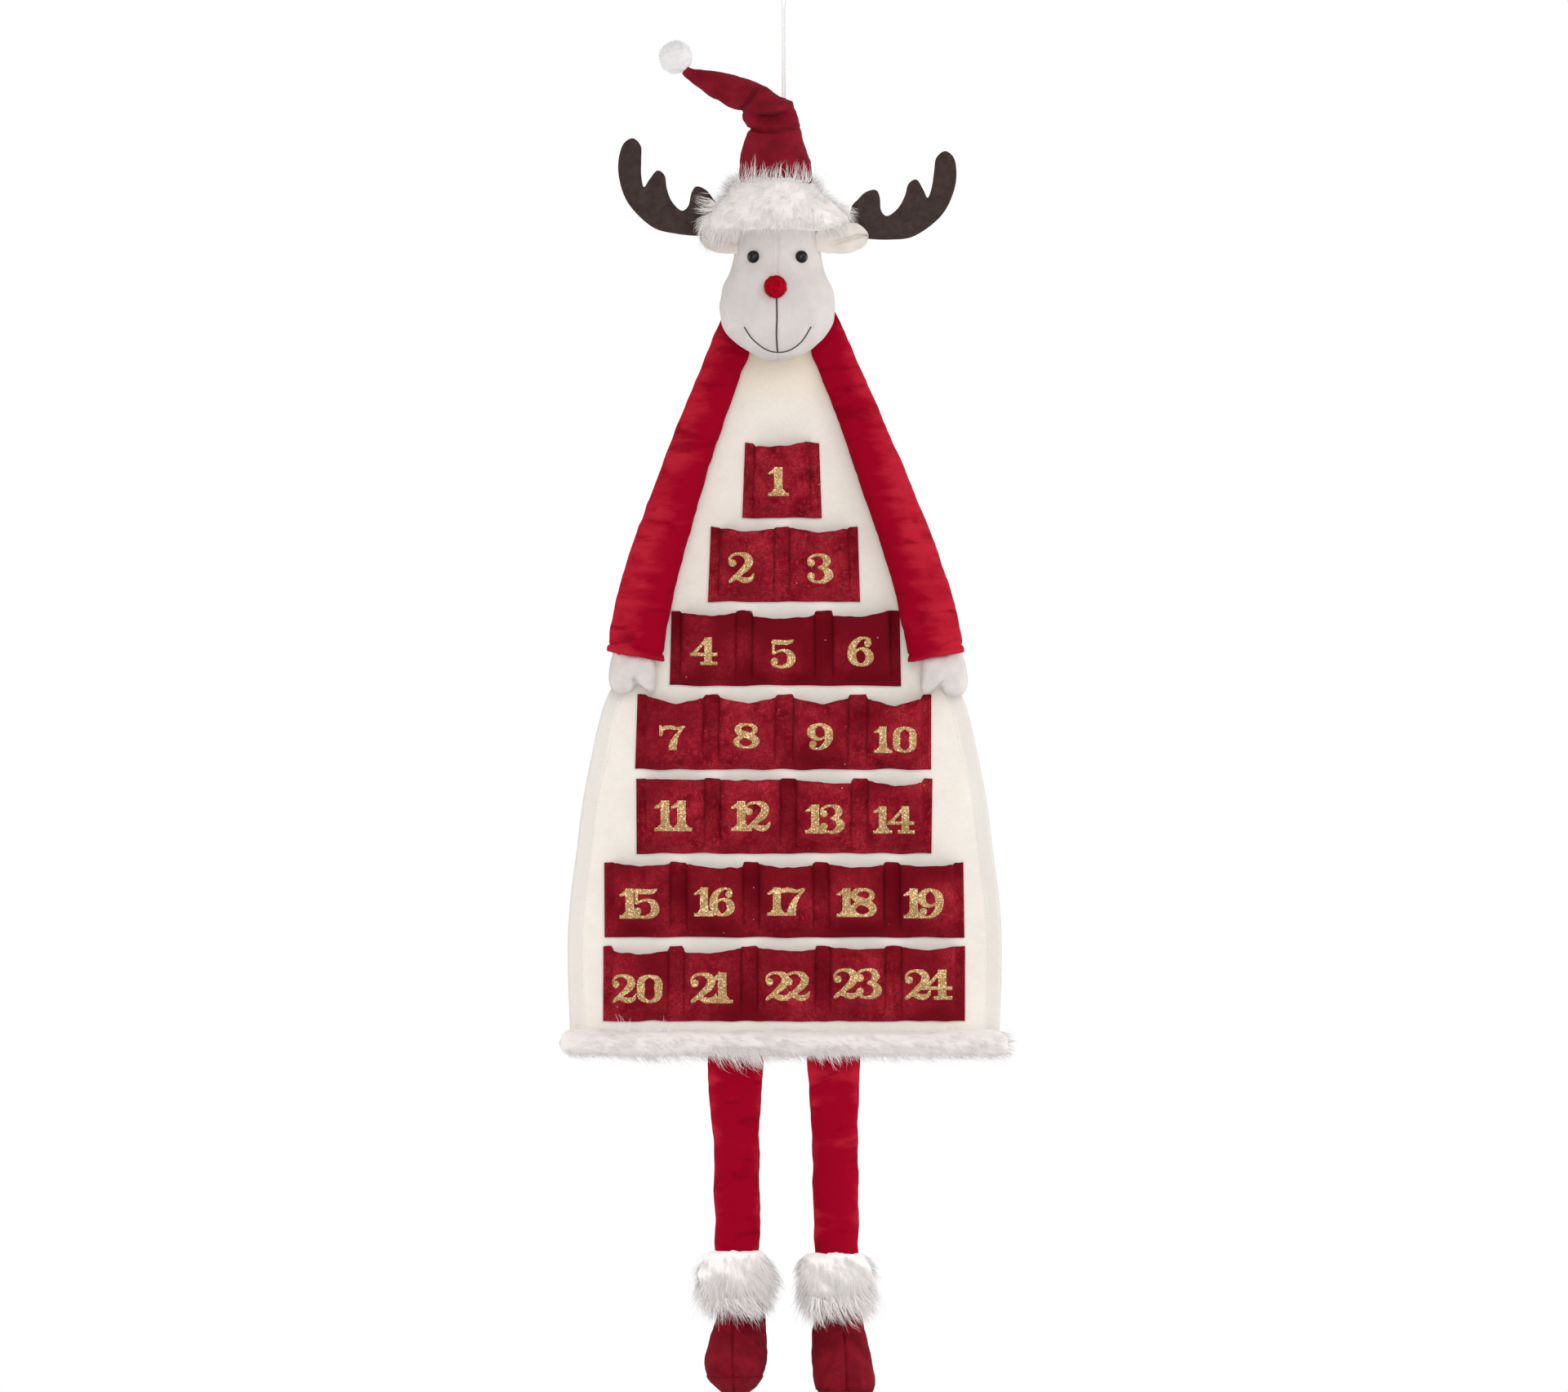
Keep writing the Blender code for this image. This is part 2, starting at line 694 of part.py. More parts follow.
def make_pocket_row(row, look):
    """One strip of felt, pleated out into pockets and sewn down between them."""
    path = strip_path(row)
    _, top, _ = row_left_top(row)
    outer, inner = [], []
    for share, out_share in POCKET_LEVEL_SHARES:
        plan = []
        for x, out, _ in path:
            stand = out * out_share * POCKET_DEPTH
            plan.append((x, ON_PANEL - POCKET_FELT - stand))
        level = [top - POCKET_HEIGHT + share * (POCKET_HEIGHT - dip * MOUTH_DIP) for _, _, dip in path]
        inside = offset_inwards(plan, POCKET_FELT)
        outer.append([(x, y, z) for (x, y), z in zip(plan, level)])
        inner.append([(x, min(y, ON_PANEL), z) for (x, y), z in zip(inside, level)])
    wide, high = len(path), len(outer)
    points = [p for line in outer for p in line] + [p for line in inner for p in line]
    shift = wide * high
    faces = []
    for j in range(high - 1):
        for i in range(wide - 1):
            a = j * wide + i
            quad = (a, a + 1, a + wide + 1, a + wide)
            faces.append(quad)
            faces.append(tuple(shift + k for k in reversed(quad)))
    edge = list(range(wide)) + [j * wide + wide - 1 for j in range(1, high)]
    edge += [(high - 1) * wide + i for i in range(wide - 2, -1, -1)]
    edge += [j * wide for j in range(high - 2, 0, -1)]
    for a, b in zip(edge, edge[1:] + edge[:1]):
        faces.append((a, b, shift + b, shift + a))
    return made_object(f"pocket_row_{row + 1}", points, faces, look)


def make_hem(fur, wood):
    """The fur roll, gathered at both ends round a small dimple, and its dowel."""
    half = HEM_LENGTH / 2
    end = [(half - share * HEM_RADIUS, radius * HEM_RADIUS) for share, radius in HEM_END_SHARES]
    dimple = DIMPLE_DIAMETER / 2
    bore = ROD_DIAMETER / 2 + GAP
    right = [(half - HEM_WALL, bore), (half - HEM_WALL, dimple), (half - HEM_WALL / 2, dimple)] + end
    profile = [(-x, r) for x, r in right] + [(x, r) for x, r in reversed(right)]
    place = Matrix.Translation((PANEL_SHIFT, HEM_Y, HEM_Z)) @ Matrix.Rotation(math.pi / 2, 4, "Y")
    roll = turned("hem_fur", profile, 18, fur, place)
    reach = half - HEM_WALL - GAP
    rod = [(-reach, 0), (-reach, ROD_DIAMETER / 2), (reach, ROD_DIAMETER / 2), (reach, 0)]
    turned("hem_rod", rod, 16, wood, place)
    wide = PANEL_WIDTH / 2 + GAP
    low = (PANEL_SHIFT - wide, ON_PANEL, PANEL_BOTTOM - GAP)
    high = (PANEL_SHIFT + wide, BACK + OVERRUN, HEM_Z + HEM_RADIUS + OVERRUN)
    cut(roll, as_cutter(block("room_for_panels", low, high)))
    return roll


def arm_place(t, way):
    """Centre, side direction, half width and depth of an arm at a share of its length."""
    reach, drop, wide, deep = read_along(ARM_SHARES, t)
    ahead = read_along(ARM_SHARES, min(t + ARM_STEP_SHARE, 1.0))
    behind = read_along(ARM_SHARES, max(t - ARM_STEP_SHARE, 0.0))
    lean = SHOULDER_SHIFT + drop * CUFF_SHIFT
    x = lean + way * (SHOULDER_SPACING / 2 + reach * ARM_REACH)
    z = SHOULDER_Z - drop * ARM_DROP
    run = way * (ahead[0] - behind[0]) * ARM_REACH
    fall = (ahead[1] - behind[1]) * ARM_DROP
    side = Vector((fall, 0, run)).normalized()
    return Vector((x, 0, z)), side, wide * ARM_WIDTH / 2, deep * ARM_DEPTH


def make_sleeve(name, way, look):
    """A stuffed sleeve: flat and round at the shoulder, full at the cuff."""
    rings = []
    centre, side, half, deep = arm_place(0.0, way)
    back_along = Vector((-side.z, 0, side.x))
    for share in reversed(ROUND_END_SHARES):
        lift = math.sqrt(1 - share * share) * half
        reduced = deep * (1 + share) / 2
        rings.append(ring(centre + back_along * lift, side, half * share, ON_PANEL - reduced, ON_PANEL, 18))
    for t in ARM_STATION_SHARES:
        centre, side, half, deep = arm_place(t, way)
        rings.append(ring(centre, side, half, ON_PANEL - deep, ON_PANEL, 18))
    first = arm_place(0.0, way)
    start = first[0] + back_along * first[2]
    start.y = ON_PANEL - first[3] / 2
    end = centre.copy()
    end.y = ON_PANEL - deep / 2
    return loft(name, rings, start, end, look)


def make_hand(name, way, look):
    """A stuffed mitten below the cuff, with its root up inside the sleeve."""
    cuff, side, _, deep = arm_place(1.0, way)
    down = Vector((side.z, 0, -side.x))
    middle = ON_PANEL - deep / 2
    outline = []
    for across, along in HAND_SHARES:
        length = along * (HAND_LENGTH if along > 0 else HAND_ROOT / abs(HAND_SHARES[0][1]))
        place = cuff + side * (-way * across * HAND_WIDTH) + down * length
        outline.append((place.x, place.z))
    outline = rounded(outline, 2)
    heart = outline.mean(0)
    layers = [(1.0, 0.0)]
    for share in PILLOW_SHARES:
        layers.append((share, math.sqrt(1 - share**PILLOW_FULLNESS)))
    layers = [(s, -d) for s, d in reversed(layers[1:])] + layers
    rings = []
    for share, deep_share in layers:
        flat = heart + (outline - heart) * share
        y = np.full(len(flat), middle + deep_share * HAND_DEPTH / 2)
        rings.append(np.stack([flat[:, 0], y, flat[:, 1]], 1))
    front = (heart[0], middle - HAND_DEPTH / 2, heart[1])
    back = (heart[0], middle + HAND_DEPTH / 2, heart[1])
    return loft(name, rings, front, back, look)


def leg_x(way, share):
    lean = LEFT_LEAN if way < 0 else RIGHT_LEAN
    return PANEL_SHIFT + way * LEG_SPACING / 2 + lean * share


def make_leg(name, way, look):
    """A stuffed leg, pinched flat where it is sewn under the hem."""
    rings = []
    for down, wide, deep in LEG_SHARES:
        half = LEG_SEAM / 2 + deep * (LEG_DEPTH - LEG_SEAM) / 2
        centre = (leg_x(way, down), 0, LEG_TOP - down * LEG_LENGTH)
        near, far = LEG_Y - half, LEG_Y + half
        rings.append(ring(centre, (1, 0, 0), wide * LEG_WIDTH / 2, near, far, 20, LEG_FULLNESS))
    seam = LEG_SEAM / 2
    share = ROUND_END_SHARES[-1]
    centre = (leg_x(way, 0), 0, LEG_TOP + seam * math.sqrt(1 - share * share))
    near, far = LEG_Y - seam * share, LEG_Y + seam * share
    rings.insert(0, ring(centre, (1, 0, 0), LEG_WIDTH / 2 - seam, near, far, 20, LEG_FULLNESS))
    top = (leg_x(way, 0), LEG_Y, LEG_TOP + seam)
    foot = (leg_x(way, 1), LEG_Y, LEG_TOP - LEG_LENGTH)
    return loft(name, rings, top, foot, look)


def make_boot(name, way, upper, lower):
    """A stuffed boot with its toe forward, and the sole piece sewn under it."""
    x = leg_x(way, 1.0)
    top = LEG_TOP - LEG_LENGTH - GAP
    toe, heel = BACK - BOOT_LENGTH, BACK
    length = heel - toe

    def rings_of(shares, start, height):
        rings = []
        for down, wide, toe_share, heel_share in shares:
            near = heel - toe_share * length
            far = heel - (1 - heel_share) * length
            centre = (x, 0, start - down * height)
            rings.append(ring(centre, (1, 0, 0), wide * BOOT_WIDTH / 2, near, far, 20))
        return rings

    rings = rings_of(BOOT_SHARES, top, BOOT_HEIGHT)
    start = (x, rings[0][:, 1].mean(), top)
    seam = top - BOOT_HEIGHT
    boot = loft(name, rings, start, (x, rings[-1][:, 1].mean(), seam), upper)
    rings = rings_of(SOLE_SHARES, seam - GAP, SOLE_HEIGHT)
    start = (x, rings[0][:, 1].mean(), seam - GAP)
    end = (x, rings[-1][:, 1].mean(), seam - GAP - SOLE_HEIGHT)
    return boot, loft(name + "_sole", rings, start, end, lower)


def cord_route():
    """The cord's points, from one end in the brim, up over the loop and back down."""
    top = LOOP_RADIUS - CORD_DIAMETER / 2
    apart = CORD_SPACING / 2
    foot = BRIM_TOP - CORD_TAIL + GAP
    lengths = np.linspace(0, 1, 26)
    points = []
    for share in lengths:
        z = foot + share * (-LOOP_NECK - foot)
        points.append((-apart, 0, z))
    for share in np.linspace(0.12, 1, 8):
        ease = share * share * (3 - 2 * share)
        z = -LOOP_NECK + share * (LOOP_NECK - top)
        points.append((-apart - ease * (LOOP_RADIUS - apart), 0, z))
    for turn in np.linspace(22.5, 90, 4):
        angle = math.radians(turn)
        points.append((-LOOP_RADIUS * math.cos(angle), 0, -top + LOOP_RADIUS * math.sin(angle)))
    return points + [(-x, y, z) for x, y, z in reversed(points[:-1])]


def make_cord(look):
    route = cord_route()
    line = bpy.data.curves.new("hanging_cord", "CURVE")
    line.dimensions = "3D"
    line.bevel_depth = CORD_DIAMETER / 2
    line.bevel_resolution = 2
    line.use_fill_caps = True
    run = line.splines.new("POLY")
    run.points.add(len(route) - 1)
    for point, place in zip(run.points, route):
        point.co = (*place, 1)
    line.materials.append(look)
    thing = bpy.data.objects.new("hanging_cord", line)
    bpy.context.scene.collection.objects.link(thing)
    return thing


def main():
    clear_scene()
    white, cream, brown = (0.86, 0.84, 0.82), (0.86, 0.81, 0.72), (0.055, 0.036, 0.030)
    crimson, velour, wine = (0.36, 0.012, 0.03), (0.48, 0.0, 0.012), (0.20, 0.012, 0.024)

    head = make_head(finish("head_fleece", white, 0.9))
    room_for_head = clearance_round(head)
    for name, way in (("left_eye", -1), ("right_eye", 1)):
        eye = make_eye(name, way, finish(name + "_plastic", (0.005, 0.005, 0.005), 0.08))
        cut(head, clearance_round(eye))
    nose_z = HEAD_TOP - NOSE_DROP
    nose_x = HEAD_SHIFT + NOSE_SHIFT
    nose_y = head_front(nose_x, nose_z) + NOSE_SINK - NOSE_DIAMETER / 2
    nose_felt = finish("nose_felt", (0.55, 0.0, 0.02), 0.9)
    nose = make_ball("nose", NOSE_DIAMETER, (nose_x, nose_y, nose_z), nose_felt)
    cut(nose, room_for_head)

    hat = make_hat(finish("hat_felt", wine, 0.85))
    room_for_hat = clearance_round(hat)
    cut(hat, room_for_head)
    make_pompom(finish("pompom_wool", white, 0.95))
    brim = barrel(
        "hat_fur_brim", BRIM_SHARES, HEAD_SHIFT, BRIM_TOP, BRIM_HEIGHT, BRIM_WIDTH, BACK - BRIM_FRONT, BACK,
        finish("brim_fur", white, 0.95), 24
    )
    room_for_brim = clearance_round(brim)
    for way, side in ((-1, "left"), (1, "right")):
        ear = make_ear(side + "_ear", way, finish(side + "_ear_felt", white, 0.9))
        cut(ear, room_for_brim)
        cut(ear, room_for_head)
        sag, out = (0.0, 0.0) if way < 0 else (ANTLER_SAG, RIGHT_ANTLER_OUT)
        antler = make_antler(side + "_antler", way, sag, out, finish(side + "_antler_felt", brown, 0.9))
        cut(brim, clearance_round(antler))
    cut(brim, room_for_head)
    cut(brim, room_for_hat)
    slot = CORD_SPACING / 2 + CORD_DIAMETER / 2 + GAP
    deep = CORD_DIAMETER / 2 + GAP
    low, high = (-slot, -deep, BRIM_TOP - CORD_TAIL), (slot, deep, BRIM_TOP + OVERRUN)
    cut(brim, as_cutter(block("room_for_cord", low, high)))

    make_panels((finish("front_felt", cream, 0.9), finish("back_felt", cream, 0.9)))
    for row in range(len(ROW_POCKETS)):
        make_pocket_row(row, finish(f"pocket_felt_{row + 1}", crimson, 0.9))
    make_hem(finish("hem_fur", white, 0.95), finish("dowel_wood", (0.55, 0.38, 0.2), 0.6))

    for way, side in ((-1, "left"), (1, "right")):
        shoulder = pivot_at(side + "_shoulder", arm_place(0.0, way)[0])
        sleeve = make_sleeve(side + "_sleeve", way, finish(side + "_sleeve_velour", velour, 0.8))
        hand = make_hand(side + "_hand", way, finish(side + "_hand_felt", white, 0.9))
        cut(sleeve, clearance_round(hand))
        hang_on(sleeve, shoulder)
        hang_on(hand, shoulder)

        hip = pivot_at(side + "_hip", (leg_x(way, 0), LEG_Y, LEG_TOP))
        leg = make_leg(side + "_leg", way, finish(side + "_leg_velour", velour, 0.8))
        upper, lower = finish(side + "_boot_felt", wine, 0.9), finish(side + "_sole_felt", wine, 0.9)
        boot, sole = make_boot(side + "_boot", way, upper, lower)
        cuff_top = LEG_TOP - LEG_LENGTH + CUFF_RISE
        cuff = barrel(
            side + "_fur_cuff", CUFF_SHARES, leg_x(way, 1), cuff_top, CUFF_HEIGHT, CUFF_WIDTH,
            LEG_Y - CUFF_FRONT, BACK + GAP, finish(side + "_cuff_fur", white, 0.95)
        )
        cut(cuff, clearance_round(leg))
        cut(cuff, clearance_round(boot))
        for piece in (leg, cuff, boot, sole):
            hang_on(piece, hip)
    make_cord(finish("cord_cotton", white, 0.7))


main()
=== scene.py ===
# Fabric advent calendar with a stuffed reindeer head: the looks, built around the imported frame.
# x runs to the viewer's right, the front faces -y, z is up and the top of the hanging loop is at 0. Metres.
import math

import bmesh
import bpy
import numpy as np
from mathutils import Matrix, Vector
from mathutils.bvhtree import BVHTree


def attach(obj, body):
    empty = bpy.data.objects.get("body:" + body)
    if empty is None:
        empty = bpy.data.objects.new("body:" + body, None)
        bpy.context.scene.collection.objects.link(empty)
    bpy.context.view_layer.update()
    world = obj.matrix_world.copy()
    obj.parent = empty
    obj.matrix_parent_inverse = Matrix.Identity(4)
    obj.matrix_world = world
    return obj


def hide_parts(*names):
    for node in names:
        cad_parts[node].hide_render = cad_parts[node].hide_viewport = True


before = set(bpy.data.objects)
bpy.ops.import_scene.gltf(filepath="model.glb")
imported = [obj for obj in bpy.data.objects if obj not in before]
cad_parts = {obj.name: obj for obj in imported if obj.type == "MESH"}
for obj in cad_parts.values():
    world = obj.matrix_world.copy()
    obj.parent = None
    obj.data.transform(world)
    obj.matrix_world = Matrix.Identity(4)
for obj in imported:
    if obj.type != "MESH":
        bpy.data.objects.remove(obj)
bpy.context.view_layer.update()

pixel = 0.00072          # one pixel of the 1920 x 1705 picture, on the object
pictureMiddle = 960      # the picture's column at x = 0
loopAbove = 28           # how far the loop's top is above the picture, in pixels
boardFront = -0.0006     # the plane just before the front panel, which everything sewn on rests on
boardBack = 0.004        # the plane of the wall
farAway = 9.0            # more than any distance here


def xAt(across):
    return (across - pictureMiddle) * pixel


def zAt(down):
    return -(down + loopAbove) * pixel


def spot(points):
    # picture pixels (across, down) to x and z
    p = np.asarray(points, float)
    return np.stack([xAt(p[..., 0]), zAt(p[..., 1])], -1)


# curves, surfaces and meshes

def through(rows, count, closed=False):
    # a smooth line through every row: between two rows each column is a cubic that runs parallel to the
    # line through the rows on either side (Catmull-Rom), read at `count` even steps
    p = np.asarray(rows, float)
    p = np.vstack([p[-1:], p, p[:2]]) if closed else np.vstack([2 * p[:1] - p[1:2], p,
            2 * p[-1:] - p[-2:-1]])
    spans = len(p) - 3
    t = np.linspace(0, spans, count, endpoint=not closed)
    i = np.minimum(t.astype(int), spans - 1)
    s = (t - i)[:, None]
    a, b, c, d = p[i], p[i + 1], p[i + 2], p[i + 3]
    return 0.5 * (2 * b + (c - a) * s + (2 * a - 5 * b + 4 * c - d) * s ** 2
                  + (3 * b - a - 3 * c + d) * s ** 3)


def evenly(line, step):
    # the same line read at even distances of about `step` along it
    line = np.asarray(line, float)
    run = np.r_[0, np.cumsum(np.linalg.norm(np.diff(line, axis=0), axis=1))]
    at = np.linspace(0, run[-1], max(3, int(round(run[-1] / step)) + 1))
    return np.stack([np.interp(at, run, column) for column in line.T], -1)


def eased(x, low, high):
    # 0 below low, 1 above high, and 3t^2 - 2t^3 in between
    t = np.clip((x - low) / (high - low), 0, 1)
    return t * t * (3 - 2 * t)


def ripple(points, size, seed, waves=10):
    # a sum of sine waves about `size` long, each along its own direction, roughly -1 to 1
    dice = np.random.default_rng(seed)
    way = dice.normal(size=(waves, points.shape[-1]))
    way *= (2 * np.pi / (size * dice.uniform(0.65, 1.6, waves)) / np.linalg.norm(way, axis=1))[:, None]
    return np.sin(points @ way.T + dice.uniform(0, 2 * np.pi, waves)).sum(-1) / math.sqrt(waves) / 0.9


def unit(v):
    return v / np.maximum(np.linalg.norm(v, axis=-1, keepdims=True), 1e-12)


def gridQuads(rows, cols, wrap):
    # one quad between each point of a grid, its right neighbour and the two below them
    r, c = np.arange(rows - 1)[:, None], np.arange(cols if wrap else cols - 1)[None]
    n = (c + 1) % cols
    return np.stack([r * cols + c, r * cols + n, (r + 1) * cols + n, (r + 1) * cols + c], -1).reshape(-1,
            4)


def newPiece(name, points, faces, material, smooth=True, outward=True, normals=None):
    # `faces` is a list of whole arrays of quads or triangles; the skin is turned so that its volume,
    # the sum of p0 . (p1 x p2) / 6 over its triangles, is above zero
    points = np.asarray(points, float).reshape(-1, 3)
    faces = [np.asarray(f, np.int64) for f in faces if len(f)]
    if outward:
        volume = 0.0
        for f in faces:
            for k in range(2, f.shape[1]):
                volume += np.einsum("ij,ij->", points[f[:, 0]],
                                    np.cross(points[f[:, k - 1]], points[f[:, k]]))
        if volume < 0:
            faces = [f[:, ::-1] for f in faces]
    mesh = bpy.data.meshes.new(name)
    mesh.vertices.add(len(points))
    mesh.vertices.foreach_set("co", points.ravel())
    sizes = np.concatenate([np.full(len(f), f.shape[1]) for f in faces])
    corners = np.concatenate([f.ravel() for f in faces])
    mesh.loops.add(len(corners))
    mesh.loops.foreach_set("vertex_index", corners)
    mesh.polygons.add(len(sizes))
    mesh.polygons.foreach_set("loop_start", np.r_[0, np.cumsum(sizes)[:-1]])
    mesh.update(calc_edges=True)
    mesh.validate()
    mesh.polygons.foreach_set("use_smooth", np.full(len(sizes), smooth))
    if normals is not None:
        mesh.normals_split_custom_set_from_vertices(normals)
    mesh.materials.append(material)
    piece = bpy.data.objects.new(name, mesh)
    bpy.context.scene.collection.objects.link(piece)
    return piece


def closedTube(grid, start, end):
    # a tube of rings, closed by a fan of triangles to a point at each end
    rows, cols = grid.shape[:2]
    points = np.vstack([grid.reshape(-1, 3), start, end])
    k = np.arange(cols)
    n, last, pole = (k + 1) % cols, (rows - 1) * cols, rows * cols
    fans = [np.stack([np.full(cols, pole), n, k], -1), np.stack([np.full(cols, pole + 1), last + k,
            last + n], -1)]
    return points, [gridQuads(rows, cols, True), np.concatenate(fans)]


def closedSlab(front, back):
    # two open grids of the same size, joined all the way round their rim
    rows, cols = front.shape[:2]
    size = rows * cols
    quads = gridQuads(rows, cols, False)
    r, c = np.arange(rows), np.arange(cols)
    rim = np.concatenate([c, r[1:] * cols + cols - 1, (rows - 1) * cols + c[::-1][1:],
                          r[::-1][1:] * cols])
    a, b = rim[:-1], rim[1:]
    points = np.vstack([front.reshape(-1, 3), back.reshape(-1, 3)])
    return points, [quads, size + quads[:, ::-1], np.stack([b, a, size + a, size + b], -1)]


def ovalRings(across, down, half, front, back, cols, side=None, fullness=1.0):
    # a ring's point is its centre + side * half * cos(turn)^fullness, and its y goes from front to back
    # with sin(turn)^fullness
    turn = np.linspace(0, 2 * np.pi, cols, endpoint=False)
    wide = np.sign(np.cos(turn)) * np.abs(np.cos(turn)) ** fullness
    deep = np.sign(np.sin(turn)) * np.abs(np.sin(turn)) ** fullness
    grid = np.zeros((len(across), cols, 3))
    sideX, sideZ = (1.0, 0.0) if side is None else (side[:, 0:1], side[:, 1:2])
    grid[..., 0] = across[:, None] + sideX * half[:, None] * wide
    grid[..., 2] = down[:, None] + sideZ * half[:, None] * wide
    grid[..., 1] = ((front + back) / 2)[:, None] + ((back - front) / 2)[:, None] * deep
    return grid


def edgeRings(rows, front, back, count, cols, fullness=1.0):
    # rings between a left and a right edge given in picture pixels: each row is left x, y, right x, y
    table = through(np.column_stack([rows, front, back]), count)
    left, right = spot(table[:, 0:2]), spot(table[:, 2:4])
    middle, half = (left + right) / 2, np.linalg.norm(right - left, axis=1) / 2
    return ovalRings(middle[:, 0], middle[:, 1], half, table[:, 4], table[:, 5], cols, unit(right - left),
                     fullness)
def levelRows(rows):
    # rows of left x, right x and y as left x, y, right x, y
    return np.array(rows, float)[:, [0, 2, 1, 2]]

def rope(line, radius, plies, pitch, sides, depth=0.26):
    # a profile carried along a line and twisted once in each pitch:
    # r = radius * (1 - depth * (1 - |cos(plies * (turn - 2 pi s / pitch) / 2)|))
    ahead = unit(np.gradient(line, axis=0))
    up = unit(np.array([0, 1.0, 0]) - ahead * ahead[:, 1:2])
    over = np.cross(ahead, up)
    run = np.r_[0, np.cumsum(np.linalg.norm(np.diff(line, axis=0), axis=1))]
    turn = np.linspace(0, 2 * np.pi, sides, endpoint=False)
    lobes = np.abs(np.cos(plies * (turn[None] - 2 * np.pi * run[:, None] / pitch) / 2))
    size = (radius * (1 - depth * (1 - lobes)))[..., None]
    grid = line[:, None] + size * (np.cos(turn)[None, :, None] * up[:, None] + np.sin(turn)[None, :,
            None] * over[:, None])
    return closedTube(grid, line[0], line[-1])


def readPoints(piece):
    co = np.zeros(len(piece.data.vertices) * 3)
    piece.data.vertices.foreach_get("co", co)
    return co.reshape(-1, 3)


def readNormals(piece):
    no = np.zeros(len(piece.data.vertices) * 3)
    piece.data.vertices.foreach_get("normal", no)
    return no.reshape(-1, 3)


def movePoints(piece, points):
    piece.data.vertices.foreach_set("co", points.ravel())
    piece.data.update()


def refine(piece, levels=1):
    # Subdivision Surface, applied, so that the fine folds can be worked out on its points
    step = piece.modifiers.new("smooth", "SUBSURF")
    step.levels = step.render_levels = levels
    ready = bpy.data.meshes.new_from_object(piece.evaluated_get(bpy.context.evaluated_depsgraph_get()))
    piece.modifiers.clear()
    old, piece.data = piece.data, ready
    bpy.data.meshes.remove(old)
    ready.shade_smooth()


def creases(points, lines, facing=None):
    # how far each point sinks: for each line, depth * exp(-(distance / width)^2), the distance being
    # that in x and z
    sunk = np.zeros(len(points))
    for line, depth, width in lines:
        path = evenly(through(spot(line), 40), 0.0015)
        away = np.full(len(points), farAway)
        for a, b in zip(path[:-1], path[1:]):
            d = b - a
            t = np.clip(((points[:, [0, 2]] - a) @ d) / (d @ d), 0, 1)
            away = np.minimum(away, np.linalg.norm(points[:, [0, 2]] - a - t[:, None] * d, axis=1))
        sunk += depth * np.exp(-(away / width) ** 2)
    return sunk if facing is None else sunk * facing


# materials

def linear(code):
    # an sRGB hex value as the linear colour that a shader takes
    parts = [int(code[k:k + 2], 16) / 255 for k in (1, 3, 5)]
    return (*[c / 12.92 if c <= 0.04045 else ((c + 0.055) / 1.055) ** 2.4 for c in parts], 1.0)


def addNode(material, kind, inputs=None, **settings):
    # one node with its settings; an input is given a value or another node's output
    node = material.node_tree.nodes.new(kind)
    for key, value in settings.items():
        setattr(node, key, value)
    for key, value in (inputs or {}).items():
        if isinstance(value, bpy.types.NodeSocket):
            material.node_tree.links.new(value, node.inputs[key])
        else:
            node.inputs[key].default_value = value
    return node.outputs


def newMaterial(name, **sockets):
    made = bpy.data.materials.new(name)
    made.use_nodes = True
    shader = made.node_tree.nodes["Principled BSDF"]
    for key, value in sockets.items():
        shader.inputs[key.replace("_", " ")].default_value = value
    return made, shader


